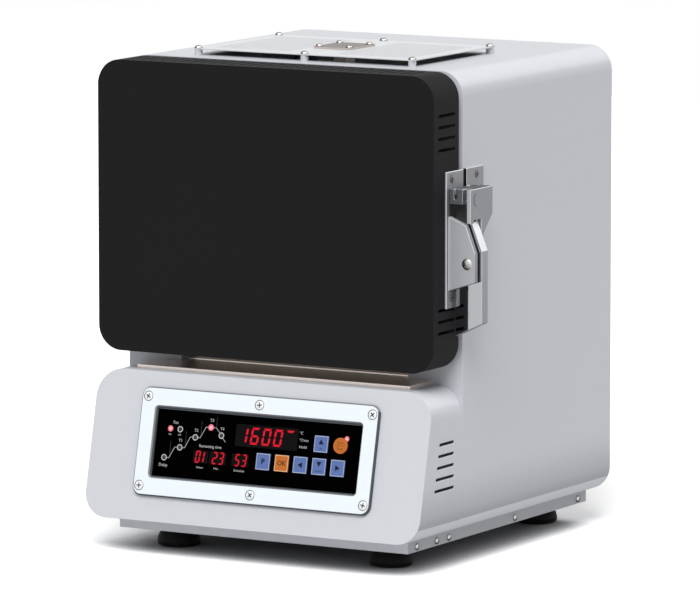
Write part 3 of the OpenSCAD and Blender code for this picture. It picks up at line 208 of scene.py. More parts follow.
def makeFinish(name, color, roughness, metallic=0.0, specular=0.5, cloud=0.05, cloudScale=60, grain=400,
               grainHeight=0.004, spread=0.05, stretch=(1, 1, 1), glow=None, glowStrength=0.0, rim=None,
               paintedBenchShade=None):
    material = bpy.data.materials.new(name)
    material.use_nodes = True
    material.diffuse_color = (*color, 1)
    tree = material.node_tree
    link = tree.links.new
    shader = tree.nodes["Principled BSDF"]
    shader.inputs["Metallic"].default_value = metallic
    shader.inputs["Specular IOR Level"].default_value = specular
    coords = addNode(tree, "ShaderNodeTexCoord")

    # broad, faint clouds in the colour
    clouds = addNode(tree, "ShaderNodeTexNoise", {"Scale": cloudScale, "Detail": 4})
    deep = (*[c * (1 - cloud) for c in color], 1)
    pale = (*[min(1, c * (1 + cloud)) for c in color], 1)
    colours = addNode(tree, "ShaderNodeMix", {6: deep, 7: pale}, data_type="RGBA")
    link(coords.outputs["Object"], clouds.inputs["Vector"])
    link(clouds.outputs["Fac"], colours.inputs[0])
    link(colours.outputs[2], shader.inputs["Base Color"])
    if rim:
        # painted light and shade: darker where the surface turns away from one direction
        away = addNode(tree, "ShaderNodeVectorMath", {1: Vector(rim["from"]).normalized()},
                       operation="DOT_PRODUCT")
        dim = addNode(tree, "ShaderNodeMapRange",
                      {"From Min": rim["dark"], "From Max": rim["light"], "To Min": rim["least"]},
                      interpolation_type="SMOOTHSTEP")
        shade = addNode(tree, "ShaderNodeMix", {0: 1.0}, data_type="RGBA", blend_type="MULTIPLY")
        link(coords.outputs["Normal"], away.inputs[0])
        link(away.outputs["Value"], dim.inputs["Value"])
        link(colours.outputs[2], shade.inputs[6])
        link(dim.outputs["Result"], shade.inputs[7])
        link(shade.outputs[2], shader.inputs["Base Color"])
        if paintedBenchShade:
            # painted shade: darker towards the bench
            height = addNode(tree, "ShaderNodeSeparateXYZ")
            low = addNode(tree, "ShaderNodeMapRange",
                          {"From Min": paintedBenchShade["low"] * mm, "From Max": paintedBenchShade["high"] * mm,
                           "To Min": paintedBenchShade["least"]},
                          interpolation_type="SMOOTHSTEP")
            both = addNode(tree, "ShaderNodeMath", operation="MULTIPLY")
            link(coords.outputs["Object"], height.inputs[0])
            link(height.outputs["Z"], low.inputs["Value"])
            link(dim.outputs["Result"], both.inputs[0])
            link(low.outputs["Result"], both.inputs[1])
            link(both.outputs[0], shade.inputs[7])

    # fine grain in the height and in the roughness
    mapping = addNode(tree, "ShaderNodeMapping", {"Scale": stretch})
    grains = addNode(tree, "ShaderNodeTexNoise", {"Scale": grain, "Detail": 3})
    bump = addNode(tree, "ShaderNodeBump", {"Distance": grainHeight * mm})
    rough = addNode(tree, "ShaderNodeMapRange", {"To Min": max(smoothest, roughness - spread),
                                                 "To Max": min(1.0, roughness + spread)})
    link(coords.outputs["Object"], mapping.inputs["Vector"])
    link(mapping.outputs["Vector"], grains.inputs["Vector"])
    link(grains.outputs["Fac"], bump.inputs["Height"])
    link(bump.outputs["Normal"], shader.inputs["Normal"])
    link(grains.outputs["Fac"], rough.inputs["Value"])
    link(rough.outputs["Result"], shader.inputs["Roughness"])
    if glow:
        shader.inputs["Emission Color"].default_value = (*glow, 1)
        shader.inputs["Emission Strength"].default_value = glowStrength
    return material


materials = {name: makeFinish(name, **values) for name, values in finishes.items()}
for node, piece in nodes.items():
    piece.data.materials.clear()
    piece.data.materials.append(materials[slotOf[node]])
print("finishes made:", len(materials))


# Helpers for meshes

def addPiece(name, mesh, finish, body, replaces=()):
    piece = addObject(name, mesh)
    if finish:
        mesh.materials.clear()
        mesh.materials.append(materials[finish])
    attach(piece, body)
    if replaces:
        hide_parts(*replaces)
    return piece


def meshFrom(name, build):
    shape = bmesh.new()
    build(shape)
    bmesh.ops.recalc_face_normals(shape, faces=shape.faces)
    mesh = bpy.data.meshes.new(name)
    shape.to_mesh(mesh)
    shape.free()
    return mesh


def bake(piece):
    evaluated = piece.evaluated_get(bpy.context.evaluated_depsgraph_get())
    mesh = bpy.data.meshes.new_from_object(evaluated)
    bpy.data.objects.remove(piece)
    return mesh


# degrees below which faces are one flat face, and above which an edge is rounded
softSetup = {"flat": 0.4, "angle": 32, "segments": 2}


# a CAD node with its thin triangles joined, its edges rounded and its shading evened
def softCopy(node, width):
    shape = bmesh.new()
    shape.from_mesh(nodes[node].data)
    bmesh.ops.remove_doubles(shape, verts=shape.verts, dist=merge)
    bmesh.ops.dissolve_limit(shape, angle_limit=math.radians(softSetup["flat"]), verts=shape.verts,
                             edges=shape.edges)
    mesh = bpy.data.meshes.new(node + "_soft")
    shape.to_mesh(mesh)
    shape.free()
    mesh.materials.clear()
    mesh.materials.append(materials[slotOf[node]])
    piece = addObject(node + "_soft", mesh)
    bevel = piece.modifiers.new("edges", "BEVEL")
    bevel.width = width * mm
    bevel.segments = softSetup["segments"]
    bevel.limit_method = "ANGLE"
    bevel.angle_limit = math.radians(softSetup["angle"])
    bevel.use_clamp_overlap = False
    even = piece.modifiers.new("even", "WEIGHTED_NORMAL")
    even.mode = "FACE_AREA"
    even.weight = 100
    even.keep_sharp = True
    mesh.polygons.foreach_set("use_smooth", [True] * len(mesh.polygons))
    return addPiece(node + "_soft", bake(piece), None, bodyOf[node], (node,))


# a second finish on some faces of a piece, chosen by where they face and where they lie
def tint(piece, finishNames, choose):
    mesh = piece.data
    first = len(mesh.materials)
    for finish in finishNames:
        mesh.materials.append(materials[finish])
    for face in mesh.polygons:
        index = choose(face.normal, (face.center - origin) / mm, face.area / mm ** 2)
        if index is not None:
            face.material_index = first + index


# Sheet metal and machined pieces, with the small edge radius of the real ones

edgeWidths = {
    "cabinet_shell": 0.5, "front_frame": 0.4, "rear_panel": 0.3, "console_shell": 0.45, "base_pan": 0.4,
    "door_cover": 0.5, "door_panel": 0.3, "heat_tray": 0.3, "mouth_frame": 0.2, "bezel": 0.25,
    "probe_plate": 0.35, "keeper_plate": 0.7, "latch_base": 0.7, "latch_handle": 0.45, "latch_claw": 0.5,
    "hinge_cabinet_leaves": 0.3, "hinge_door_leaves": 0.3, "door_plug": 1.2, "door_gasket": 1.2,
    "insulation": 0.8, "hearth_plate": 1.0, "fan_housing": 0.5, "power_inlet": 0.4, "switch_frame": 0.4,
    "power_switch": 0.5, "control_panel": 0.1, "thermocouple": 0.15,
}
soft = {node: softCopy(node, width) for node, width in edgeWidths.items()}
print("edges softened:", len(edgeWidths))

# Painted light on the polished latch steel: lit, highlighted, shaded and black copies of it go on each face
# by where it points and lies. A limit is a part of a face's unit normal, an area in square mm or a place in
# mm
latchPaintedLight = ("latch_front_painted_light", "latch_painted_highlight", "latch_shade", "latch_painted_deep_shade", "handle_mirror", "seal_black")
frontLightTone, highlightTone, shadeTone, deepShadeTone, mirrorTone, blackShadeTone = range(len(latchPaintedLight))
latchFacing = {"up": 0.42, "upNotBack": 0.6, "edgeArea": 90, "edgeRight": 0.8, "edge": 0.3, "front": 0.7,
               "down": 0.25, "back": 0.5, "left": 0.5}
handleFacing = {"up": 0.25, "right": 0.5, "front": 0.7}
keeperFacing = {"front": 0.8}
rivetFacing = {"right": 0.8, "front": 0.3, "up": 0.8}
clawCorner = (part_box("latch_claw")[1] - origin) / mm
clawFacing = {"inwards": 5, "notchDown": 35, "barDown": 17, "up": 0.97, "upArea": 20, "front": 0.7,
              "side": 0.5}
plainFacing = {"paintedShadeFlank": 0.9, "lid": 0.9}
probeFacing = {"front": 0.6, "above": 494, "area": 40, "reach": 8}


def latchSide(facing, spot, area):
    s = latchFacing
    edge = area < s["edgeArea"] and facing.x > s["edgeRight"]
    if edge and (facing.z > s["edge"] or facing.y < -s["edge"]):
        return highlightTone
    if facing.z > s["up"] and facing.y < s["upNotBack"]:
        return highlightTone
    if facing.y < -s["front"]:
        return frontLightTone
    if facing.z < -s["down"] or facing.y > s["back"] or facing.x < -s["left"]:
        return shadeTone
    return None


def handleSide(facing, spot, area):
    if facing.z > handleFacing["up"] and facing.x > handleFacing["right"]:
        return highlightTone
    if facing.y < -handleFacing["front"]:
        return mirrorTone
    return latchSide(facing, spot, area)


# painted shade: the keeper's front faces are black
def keeperSide(facing, spot, area):
    return blackShadeTone if facing.y < -keeperFacing["front"] else latchSide(facing, spot, area)


def clawSide(facing, spot, area):
    s = clawFacing
    if facing.z > s["up"] and area > s["upArea"]:
        return shadeTone
    if facing.y < -s["front"]:
        if spot.x < clawCorner.x - s["inwards"]:
            return shadeTone if spot.z > clawCorner.z - s["barDown"] else deepShadeTone
        return None if spot.z < clawCorner.z - s["notchDown"] else frontLightTone
    if abs(facing.y) < s["side"] and facing.x < -s["side"]:
        return deepShadeTone
    return latchSide(facing, spot, area)


def rivetSide(facing, spot, area):
    if facing.x > rivetFacing["right"]:
        return None
    return deepShadeTone if facing.y < -rivetFacing["front"] or facing.z > rivetFacing["up"] else frontLightTone


# painted shade: faces turned to +X take a darker finish
def paintedShadeFlank(facing, spot, area):
    return 0 if facing.x > plainFacing["paintedShadeFlank"] else None


def lid(facing, spot, area):
    return 0 if facing.z > plainFacing["lid"] else 1


def probeHead(facing, spot, area):
    s = probeFacing
    outer = spot.z > s["above"] and area > s["area"] and abs(spot.x) < s["reach"]
    return 0 if outer and facing.y < -s["front"] else None


# painted shade on the +X sides of the cabinet, console and base pan
tint(soft["cabinet_shell"], ("white_side_painted_shade",), paintedShadeFlank)
tint(soft["console_shell"], ("white_side_painted_shade",), paintedShadeFlank)
tint(soft["base_pan"], ("pan_side_painted_shade",), paintedShadeFlank)
tint(soft["probe_plate"], ("probe_top", "probe_edge"), lid)
tint(soft["thermocouple"], ("probe_head",), probeHead)
tint(soft["latch_base"], latchPaintedLight, latchSide)
tint(soft["latch_handle"], latchPaintedLight, handleSide)
tint(soft["keeper_plate"], latchPaintedLight, keeperSide)
tint(soft["latch_claw"], latchPaintedLight, clawSide)
# painted light and shade on the claw's rivet, by where its faces point
rivet = softCopy("claw_fasteners", 0.25)
rivet.data.materials[0] = materials["latch_steel"]
tint(rivet, latchPaintedLight, rivetSide)
print("sides toned")


# Geometry Nodes: a template on every point, turned to face the point's own direction

def spreadTree():
    tree = bpy.data.node_groups.new("spread pieces", "GeometryNodeTree")
    for socket, kind in (("Points", "Geometry"), ("Template", "Object"), ("Size", "Float"), ("Weld", "Float"),
                         ("Finish", "Material")):
        tree.interface.new_socket(socket, in_out="INPUT", socket_type="NodeSocket" + kind)
    tree.interface.new_socket("Pieces", in_out="OUTPUT", socket_type="NodeSocketGeometry")
    start = addNode(tree, "NodeGroupInput")
    end = addNode(tree, "NodeGroupOutput")
    info = addNode(tree, "GeometryNodeObjectInfo")
    facing = addNode(tree, "GeometryNodeInputNamedAttribute", {"Name": "facing"}, data_type="FLOAT_VECTOR")
    twist = addNode(tree, "GeometryNodeInputNamedAttribute", {"Name": "twist"}, data_type="FLOAT")
    align = addNode(tree, "FunctionNodeAlignRotationToVector", axis="Z")
    turn = addNode(tree, "FunctionNodeAxisAngleToRotation", {"Axis": (0, 0, 1)})
    rotate = addNode(tree, "FunctionNodeRotateRotation", rotation_space="LOCAL")
    instance = addNode(tree, "GeometryNodeInstanceOnPoints")
    realize = addNode(tree, "GeometryNodeRealizeInstances")
    weld = addNode(tree, "GeometryNodeMergeByDistance")
    finish = addNode(tree, "GeometryNodeSetMaterial")
    for source, output, target, socket in (
            (start, "Points", instance, "Points"), (start, "Template", info, "Object"),
            (info, "Geometry", instance, "Instance"), (facing, "Attribute", align, "Vector"),
            (twist, "Attribute", turn, "Angle"), (align, "Rotation", rotate, "Rotation"),
            (turn, "Rotation", rotate, "Rotate By"), (rotate, "Rotation", instance, "Rotation"),
            (start, "Size", instance, "Scale"), (instance, "Instances", realize, "Geometry"),
            (realize, "Geometry", weld, "Geometry"), (start, "Weld", weld, "Distance"),
            (weld, "Geometry", finish, "Geometry"), (start, "Finish", finish, "Material"),
            (finish, "Geometry", end, "Pieces")):
        tree.links.new(source.outputs[output], target.inputs[socket])
    return tree


spreading = spreadTree()
socketIds = {item.name: item.identifier for item in spreading.interface.items_tree}


def spread(name, template, points, finish, size=1.0, weld=0.0):
    mesh = bpy.data.meshes.new(name)
    mesh.from_pydata([spot for spot, facing, twist in points], [], [])
    mesh.attributes.new("facing", "FLOAT_VECTOR", "POINT")
    mesh.attributes.new("twist", "FLOAT", "POINT")
    mesh.attributes["facing"].data.foreach_set("vector", [c for point in points for c in point[1]])
    mesh.attributes["twist"].data.foreach_set("value", [math.radians(point[2]) for point in points])
    piece = addObject(name, mesh)
    modifier = piece.modifiers.new("spread", "NODES")
    modifier.node_group = spreading
    modifier[socketIds["Template"]] = template
    modifier[socketIds["Size"]] = size
    modifier[socketIds["Weld"]] = weld
    modifier[socketIds["Finish"]] = materials[finish]
    made = bake(piece)
    made.polygons.foreach_set("use_smooth", [True] * len(made.polygons))
    made.update()
    made.set_sharp_from_angle(angle=math.radians(softSetup["angle"]))
    return made


# walls between two rings with the same number of points
def addWalls(shape, low, high):
    for i in range(len(low)):
        j = (i + 1) % len(low)
        shape.faces.new((low[i], low[j], high[j], high[i]))


# an outline of (radius, height) turned round Z
def turned(shape, outline, steps):
    rings = []
    for radius, height in outline:
        if radius == 0:
            rings.append([shape.verts.new((0, 0, height * mm))])
            continue
        angles = [2 * math.pi * i / steps for i in range(steps)]
        rings.append([shape.verts.new((radius * math.cos(a) * mm, radius * math.sin(a) * mm, height * mm))
                      for a in angles])
    for low, high in zip(rings, rings[1:]):
        if len(low) == len(high):
            addWalls(shape, low, high)
            continue
        for i in range(steps):
            j = (i + 1) % steps
            shape.faces.new((low[0], high[i], high[j]) if len(low) == 1 else (low[i], low[j], high[0]))


# Screws

domeScrew = {"radius": 4.0, "height": 3.0, "under": 0.6, "foot": 0.93, "lip": 0.4, "sunk": 0.02, "rings": 7,
             "steps": 28, "twist": 37}
flatScrew = {"radius": 4.9, "height": 1.1, "crown": 0.35, "cross": 2.7, "crossWidth": 0.55, "depth": 0.8,
             "foot": 0.98, "footHeight": 0.2, "round": 0.35, "shoulder": 0.75, "rise": 0.6, "taper": 0.8,
             "perSide": 3, "meanReach": 2}


def domeHead(shape):
    s = domeScrew
    outline = [(0, -s["sunk"]), (s["radius"] * s["foot"], -s["sunk"]), (s["radius"], s["under"] * s["lip"]),
               (s["radius"], s["under"])]
    for i in range(1, s["rings"]):
        angle = math.pi / 2 * i / s["rings"]
        rise = (s["height"] - s["under"]) * math.sin(angle)
        outline.append((s["radius"] * math.cos(angle), s["under"] + rise))
    outline.append((0, s["height"]))
    turned(shape, outline, s["steps"])


def crossHead(shape):
    s = flatScrew
    arms = []
    reach, half = s["cross"], s["crossWidth"]
    for k in range(4):
        a = math.pi / 2 * k
        for x, y in ((reach, -half), (reach, half), (half, half)):
            arms.append((x * math.cos(a) - y * math.sin(a), x * math.sin(a) + y * math.cos(a)))
    steps = len(arms) * s["perSide"]
    top = s["height"]
    rim = [(math.cos(2 * math.pi * i / steps), math.sin(2 * math.pi * i / steps)) for i in range(steps)]

    # the recess's outline, resampled to the same number of points
    cross = []
    for i in range(len(arms)):
        a, b = arms[i], arms[(i + 1) % len(arms)]
        for t in range(s["perSide"]):
            part = t / s["perSide"]
            cross.append((a[0] + (b[0] - a[0]) * part, a[1] + (b[1] - a[1]) * part))

    # and turned until its points lie nearest to the rim's
    def apart(k):
        return sum((Vector(cross[(i + k) % steps]) - Vector(rim[i]) * s["meanReach"]).length_squared
                   for i in range(steps))

    turn = min(range(steps), key=apart)
    cross = cross[turn:] + cross[:turn]
    rings = []
    for points, size, height in ((rim, s["radius"] * s["foot"], 0), (rim, s["radius"], s["footHeight"]),
                                 (rim, s["radius"], top - s["round"]), (rim, s["radius"] - s["round"], top),
                                 (rim, s["radius"] * s["shoulder"], top + s["crown"] * s["rise"]),
                                 (cross, 1, top + s["crown"]), (cross, s["taper"], top - s["depth"])):
        rings.append([shape.verts.new((x * size * mm, y * size * mm, height * mm)) for x, y in points])
    for low, high in zip(rings, rings[1:]):
        addWalls(shape, low, high)
    shape.faces.new(rings[-1])
    shape.faces.new(list(reversed(rings[0])))


domeTemplate = addObject("dome template", meshFrom("dome template", domeHead))
crossTemplate = addObject("cross template", meshFrom("cross template", crossHead))
up = Vector((0, 0, 1))
right = Vector((1, 0, 0))
back = Vector((0, 1, 0))


# the box of each separate solid in a CAD node
def solidsOf(node):
    shape = bmesh.new()
    shape.from_mesh(nodes[node].data)
    bmesh.ops.remove_doubles(shape, verts=shape.verts, dist=merge)
    left = set(shape.verts)
    boxes = []
    for first in shape.verts:
        if first not in left:
            continue
        left.remove(first)
        group = [first]
        for vert in group:
            for edge in vert.link_edges:
                other = edge.other_vert(vert)
                if other in left:
                    left.remove(other)
                    group.append(other)
        low = Vector([min(v.co[k] for v in group) for k in range(3)])
        high = Vector([max(v.co[k] for v in group) for k in range(3)])
        boxes.append((low, high))
    shape.free()
    return boxes


def boxPiece(name, low, high, finish, body):
    def build(shape):
        bmesh.ops.create_cube(shape, size=1, matrix=Matrix.Translation((low + high) / 2)
                              @ Matrix.Diagonal((*(high - low), 1)))
    return addPiece(name, meshFrom(name, build), finish, body)


# seat gives, for a screw's middle, where its head faces and how high along that axis it sits
def domesOn(node, name, size, seat):
    points = []
    for i, (low, high) in enumerate(solidsOf(node)):
        spot = (low + high) / 2
        facing, level = seat(spot)
        axis = max(range(3), key=lambda k: abs(facing[k]))
        spot[axis] = level
        points.append((spot, facing, domeScrew["twist"] * (i + 1)))
    addPiece(name, spread(name, domeTemplate, points, "screw_steel", size), None, bodyOf[node],
             (node,))


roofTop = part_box("vent_cover")[1].z
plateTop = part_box("probe_plate")[1].z
panLow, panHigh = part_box("base_pan")
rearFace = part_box("rear_panel")[1].y
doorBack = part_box("door_panel")[1].y


def panSide(spot):
    return (right, panHigh.x) if spot.x > origin.x else (-right, panLow.x)


domesOn("vent_screws", "roof_screws", 0.98, lambda spot: (up, roofTop))
domesOn("probe_screws", "probe_plate_screws", 0.86, lambda spot: (up, plateTop))
domesOn("rear_screws", "rear_panel_screws", 0.95, lambda spot: (back, rearFace))
domesOn("door_screws", "door_panel_screws", 0.7, lambda spot: (back, doorBack))
domesOn("base_screws", "base_pan_screws", 0.86, panSide)
print("dome screws placed")


# the lower group of slots on the door's sides shows one slot less than the upper group
spareSlot = {"z": 272.9, "y": (-49.3, -16.3), "high": 3.0, "thick": 0.9}
doorLow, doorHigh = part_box("door_cover")
blankThick = spareSlot["thick"] * mm
blankLow, blankHigh = [Vector((0, origin.y + y * mm, (spareSlot["z"] + spareSlot["high"] * part) * mm))
                       for y, part in zip(spareSlot["y"], (-0.5, 0.5))]
for side, x in (("left", doorLow.x), ("right", doorHigh.x - blankThick)):
    boxPiece("slot_blank_" + side, blankLow + right * x, blankHigh + right * (x + blankThick), "black_paint",
             "door")


# The sloping face: X along it, Y up it, Z out of it

faceSetup = {"tilt": 12.5, "panelThickness": 2.5, "print": 0.06, "miter": 0.3, "capital": 0.72}
tilt = math.radians(faceSetup["tilt"])
faceUp = Vector((0, math.sin(tilt), math.cos(tilt)))
faceOut = Vector((0, -math.cos(tilt), math.sin(tilt)))
panelLow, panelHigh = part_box("control_panel")
faceCentre = (panelLow + panelHigh) / 2 + faceOut * faceSetup["panelThickness"] / 2 * mm
faceFrame = Matrix.Translation(faceCentre) @ Matrix((right, faceUp, faceOut)).transposed().to_4x4()


def onFace(x, v, out=0.0):
    return faceFrame @ (Vector((x, v, out)) * mm)


# painted shade: the bezel's chamfers and the walls of its opening get darker finishes
bezelFacing = {"front": 0.97, "behind": -0.5, "opening": (120.5, 37.5), "up": 0.3}


def bezelSide(facing, spot, area):
    s = bezelFacing
    out = facing.dot(faceOut)
    if out > s["front"] or out < s["behind"]:
        return None
    flat = spot * mm + origin - faceCentre
    reachX, reachV = s["opening"]
    inside = abs(flat.x) < reachX * mm and abs(flat.dot(faceUp)) < reachV * mm
    return 1 if inside or facing.dot(faceUp) > s["up"] else 0


tint(soft["bezel"], ("bezel_rim_painted_shade", "bezel_bevel"), bezelSide)


# the chamfer of the bezel's opening, seen over the black panel, as thin strips of painted shade
lipSetup = {"half": (118.5, 35.25), "top": 1.9, "side": 1.1, "out": (0.08, 0.3)}
lipX, lipV = lipSetup["half"]
lipStrips = {"top": (-lipX, lipX, lipV - lipSetup["top"], lipV),
             "low": (-lipX, lipX, -lipV, lipSetup["side"] - lipV),
             "left": (-lipX, lipSetup["side"] - lipX, -lipV, lipV)}


def lipRing(shape):
    for x0, x1, v0, v1 in lipStrips.values():
        low, high = [[shape.verts.new(onFace(x, v, out)) for x, v in ((x0, v0), (x1, v0), (x1, v1), (x0, v1))]
                     for out in lipSetup["out"]]
        shape.faces.new(list(reversed(low)))
        shape.faces.new(high)
        addWalls(shape, low, high)


addPiece("bezel_chamfer", meshFrom("bezel_chamfer", lipRing), "bezel_rim_painted_shade", "cabinet")


# heads with a cross: the cross and the rim are darker than the face, as painted shade
def crossesOn(name, points, setup, finish, dark, body, replaces=()):
    heads = addPiece(name, spread(name, crossTemplate, points, finish, setup["size"]), None, body,
                     replaces)

    def choose(facing, spot, area):
        nearest = min((spot * mm + origin - point[0]).length for point in points)
        return None if facing.dot(points[0][1]) > setup["flat"] and nearest > setup["cross"] * mm else 0

    tint(heads, (dark,), choose)


faceScrews = {"x": 128.8, "v": 44.9, "out": 2.75, "twist": 37, "first": 24, "size": 1.0, "flat": 0.93,
              "cross": 2.6}
s = faceScrews
points = [(onFace(s["x"] * sx, s["v"] * sv, s["out"]), faceOut, s["twist"] * (sx + 2 * sv) + s["first"])
          for sx in (-1, 0, 1) for sv in (-1, 1)]
crossesOn("bezel_cross_screws", points, s, "screw_flat", "screw_painted_shade", "cabinet",
          ("bezel_screws",))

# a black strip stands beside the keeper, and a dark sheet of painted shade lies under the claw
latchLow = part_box("latch_base")[0]
latchPlate = 2.0
latchFace = latchLow.x + latchPlate * mm
keeperLow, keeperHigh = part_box("keeper_plate")
stripSetup = {"thick": 0.4, "clear": 0.3, "back": 0.2}
stripLow = Vector((keeperLow.x, origin.y + stripSetup["back"] * mm, keeperLow.z))
stripHigh = Vector((keeperLow.x + stripSetup["thick"] * mm, keeperLow.y - stripSetup["clear"] * mm,
                    keeperHigh.z))
boxPiece("seal_strip", stripLow, stripHigh, "rubber", "cabinet")
shadeSheetSetup = {"y": (-31, -2.4), "z": (345, 365.6), "thick": 0.25}
shadeSheetLow, shadeSheetHigh = [Vector((latchFace, origin.y + y * mm, z * mm))
                   for y, z in zip(shadeSheetSetup["y"], shadeSheetSetup["z"])]
boxPiece("claw_pad", shadeSheetLow, shadeSheetHigh + right * shadeSheetSetup["thick"] * mm, "shade_sheet_black", "door")

latchScrews = {"size": 0.82, "sink": 0.55, "twist": 31, "first": 12, "flat": 0.93, "cross": 2.0}
for node, body in (("latch_screws", "door"), ("keeper_screws", "cabinet")):
    points = []
    for i, (low, high) in enumerate(solidsOf(node)):
        spot = (low + high) / 2
        spot.x = latchFace - latchScrews["sink"] * mm
        points.append((spot, right, latchScrews["twist"] * i + latchScrews["first"]))
    crossesOn(node + "_cross", points, latchScrews, "screw_dull", "screw_painted_shade", body, (node,))

# the handle's rivet has a polished head with a star in it; the star and the head's rim carry painted shade
starSetup = {"size": 1.0, "sink": 1.6, "turn": 28, "flat": 0.3, "cross": 2.4}
pinLow, pinHigh = min(solidsOf("latch_pins"), key=lambda box: box[0].z + box[1].z)
starSpot = (pinLow + pinHigh) / 2
starSpot.y = pinLow.y + starSetup["sink"] * mm
crossesOn("pivot_star", [(starSpot, -back, starSetup["turn"])], starSetup, "screw_steel", "latch_shade",
          bodyOf["latch_pins"])

hingeScrews = {"size": 0.72, "leaf": 2.0, "out": 0.4, "in": 8, "end": 25, "apart": 12.5, "twist": 87.5}
for node, body, fromFront in (("hinge_cabinet_leaves", "cabinet", False),
                              ("hinge_door_leaves", "door", True)):
    s = hingeScrews
    low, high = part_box(node)
    x = high.x + (s["out"] - s["leaf"]) * mm
    y = low.y + s["in"] * mm if fromFront else high.y - s["in"] * mm
    points = [(Vector((x, y, z + s["apart"] * sign * mm)), -right, s["twist"] * sign)
              for z in (low.z + s["end"] * mm, high.z - s["end"] * mm) for sign in (-1, 1)]
    addPiece(node + "_screws", spread(node, crossTemplate, points, "screw_steel", s["size"]), None,
             body)
print("screws on the face, latch and hinges placed")


# Vent cover with its perforated fields, whose centres lie inset from the cover's left and right edges

ventSetup = {"pitch": 4.75, "hole": 1.45, "steps": 12, "columns": 18, "rows": 28, "inset": 57}
ventLow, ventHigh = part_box("vent_cover")
ventCentre = (ventLow + ventHigh) / 2
ventThick = ventHigh.z - ventLow.z


def holeTile(shape):
    s = ventSetup
    half = s["pitch"] / 2 * mm
    rings = []
    for height in (0, ventThick):
        inner, outer = [], []
        for i in range(s["steps"]):
            angle = 2 * math.pi * (i + 0.5) / s["steps"] + math.pi / s["steps"]
            x, y = math.cos(angle), math.sin(angle)
            inner.append(shape.verts.new((x * s["hole"] * mm, y * s["hole"] * mm, height)))
            reach = half / max(abs(x), abs(y))
            outer.append(shape.verts.new((x * reach, y * reach, height)))
        rings.append((inner, outer))
    (lowIn, lowOut), (highIn, highOut) = rings
    for i in range(s["steps"]):
        j = (i + 1) % s["steps"]
        shape.faces.new((highIn[i], highOut[i], highOut[j], highIn[j]))
        shape.faces.new((lowIn[j], lowOut[j], lowOut[i], lowIn[i]))
        shape.faces.new((lowIn[i], highIn[i], highIn[j], lowIn[j]))
    # the square's four corners
    for inner, outer in rings:
        for sx in (-1, 1):
            for sy in (-1, 1):
                near = sorted(outer, key=lambda v: (v.co.x - sx * half) ** 2
                              + (v.co.y - sy * half) ** 2)[:2]
                if (near[0].co - Vector((sx * half, sy * half, near[0].co.z))).length > merge:
                    corner = shape.verts.new((sx * half, sy * half, near[0].co.z))
                    shape.faces.new((near[0], near[1], corner))


tileTemplate = addObject("tile template", meshFrom("tile template", holeTile))
fieldWidth = ventSetup["columns"] * ventSetup["pitch"]
fieldDepth = ventSetup["rows"] * ventSetup["pitch"]
fieldX = (ventHigh.x - ventLow.x) / 2 / mm - ventSetup["inset"]
tiles = []
for side in (-1, 1):
    for i in range(ventSetup["columns"]):
        for j in range(ventSetup["rows"]):
            x = ventCentre.x + (side * fieldX + (i + 0.5) * ventSetup["pitch"] - fieldWidth / 2) * mm
            y = ventCentre.y + ((j + 0.5) * ventSetup["pitch"] - fieldDepth / 2) * mm
            tiles.append(((x, y, ventLow.z), up, 0))
fieldMesh = spread("vent_fields", tileTemplate, tiles, "vent_paint", weld=merge)


def ventPlate(shape):
    halfX = (ventHigh.x - ventLow.x) / 2 / mm
    halfY = (ventHigh.y - ventLow.y) / 2 / mm
    cutsX = [-halfX, -fieldX - fieldWidth / 2, -fieldX + fieldWidth / 2,
             fieldX - fieldWidth / 2, fieldX + fieldWidth / 2, halfX]
    cutsY = [-halfY, -fieldDepth / 2, fieldDepth / 2, halfY]
    grid = {}
    for k, z in enumerate((ventLow.z, ventHigh.z)):
        for i, x in enumerate(cutsX):
            for j, y in enumerate(cutsY):
                grid[i, j, k] = shape.verts.new((ventCentre.x + x * mm, ventCentre.y + y * mm, z))
    fields = {(1, 1), (3, 1)}
    cells = [(i, j) for i in range(5) for j in range(3) if (i, j) not in fields]
    for i, j in cells:
        shape.faces.new([grid[i, j, 1], grid[i + 1, j, 1], grid[i + 1, j + 1, 1], grid[i, j + 1, 1]])
        shape.faces.new([grid[i, j + 1, 0], grid[i + 1, j + 1, 0], grid[i + 1, j, 0], grid[i, j, 0]])
        for di, dj, a, b in ((0, -1, (i, j), (i + 1, j)), (1, 0, (i + 1, j), (i + 1, j + 1)),
                             (0, 1, (i + 1, j + 1), (i, j + 1)), (-1, 0, (i, j + 1), (i, j))):
            if (i + di, j + dj) not in cells:
                shape.faces.new([grid[(*a, 0)], grid[(*b, 0)], grid[(*b, 1)], grid[(*a, 1)]])


plateMesh = meshFrom("vent_plate", ventPlate)
joined = bmesh.new()
joined.from_mesh(plateMesh)
joined.from_mesh(fieldMesh)
joined.to_mesh(plateMesh)
joined.free()
plateMesh.materials.clear()
addPiece("vent_cover_perforated", plateMesh, "vent_paint", "cabinet", ("vent_cover",))
for template in (domeTemplate, crossTemplate, tileTemplate):
    bpy.data.objects.remove(template)
print("vent cover perforated")


# Prints on the panel: flat shapes a hair above the film

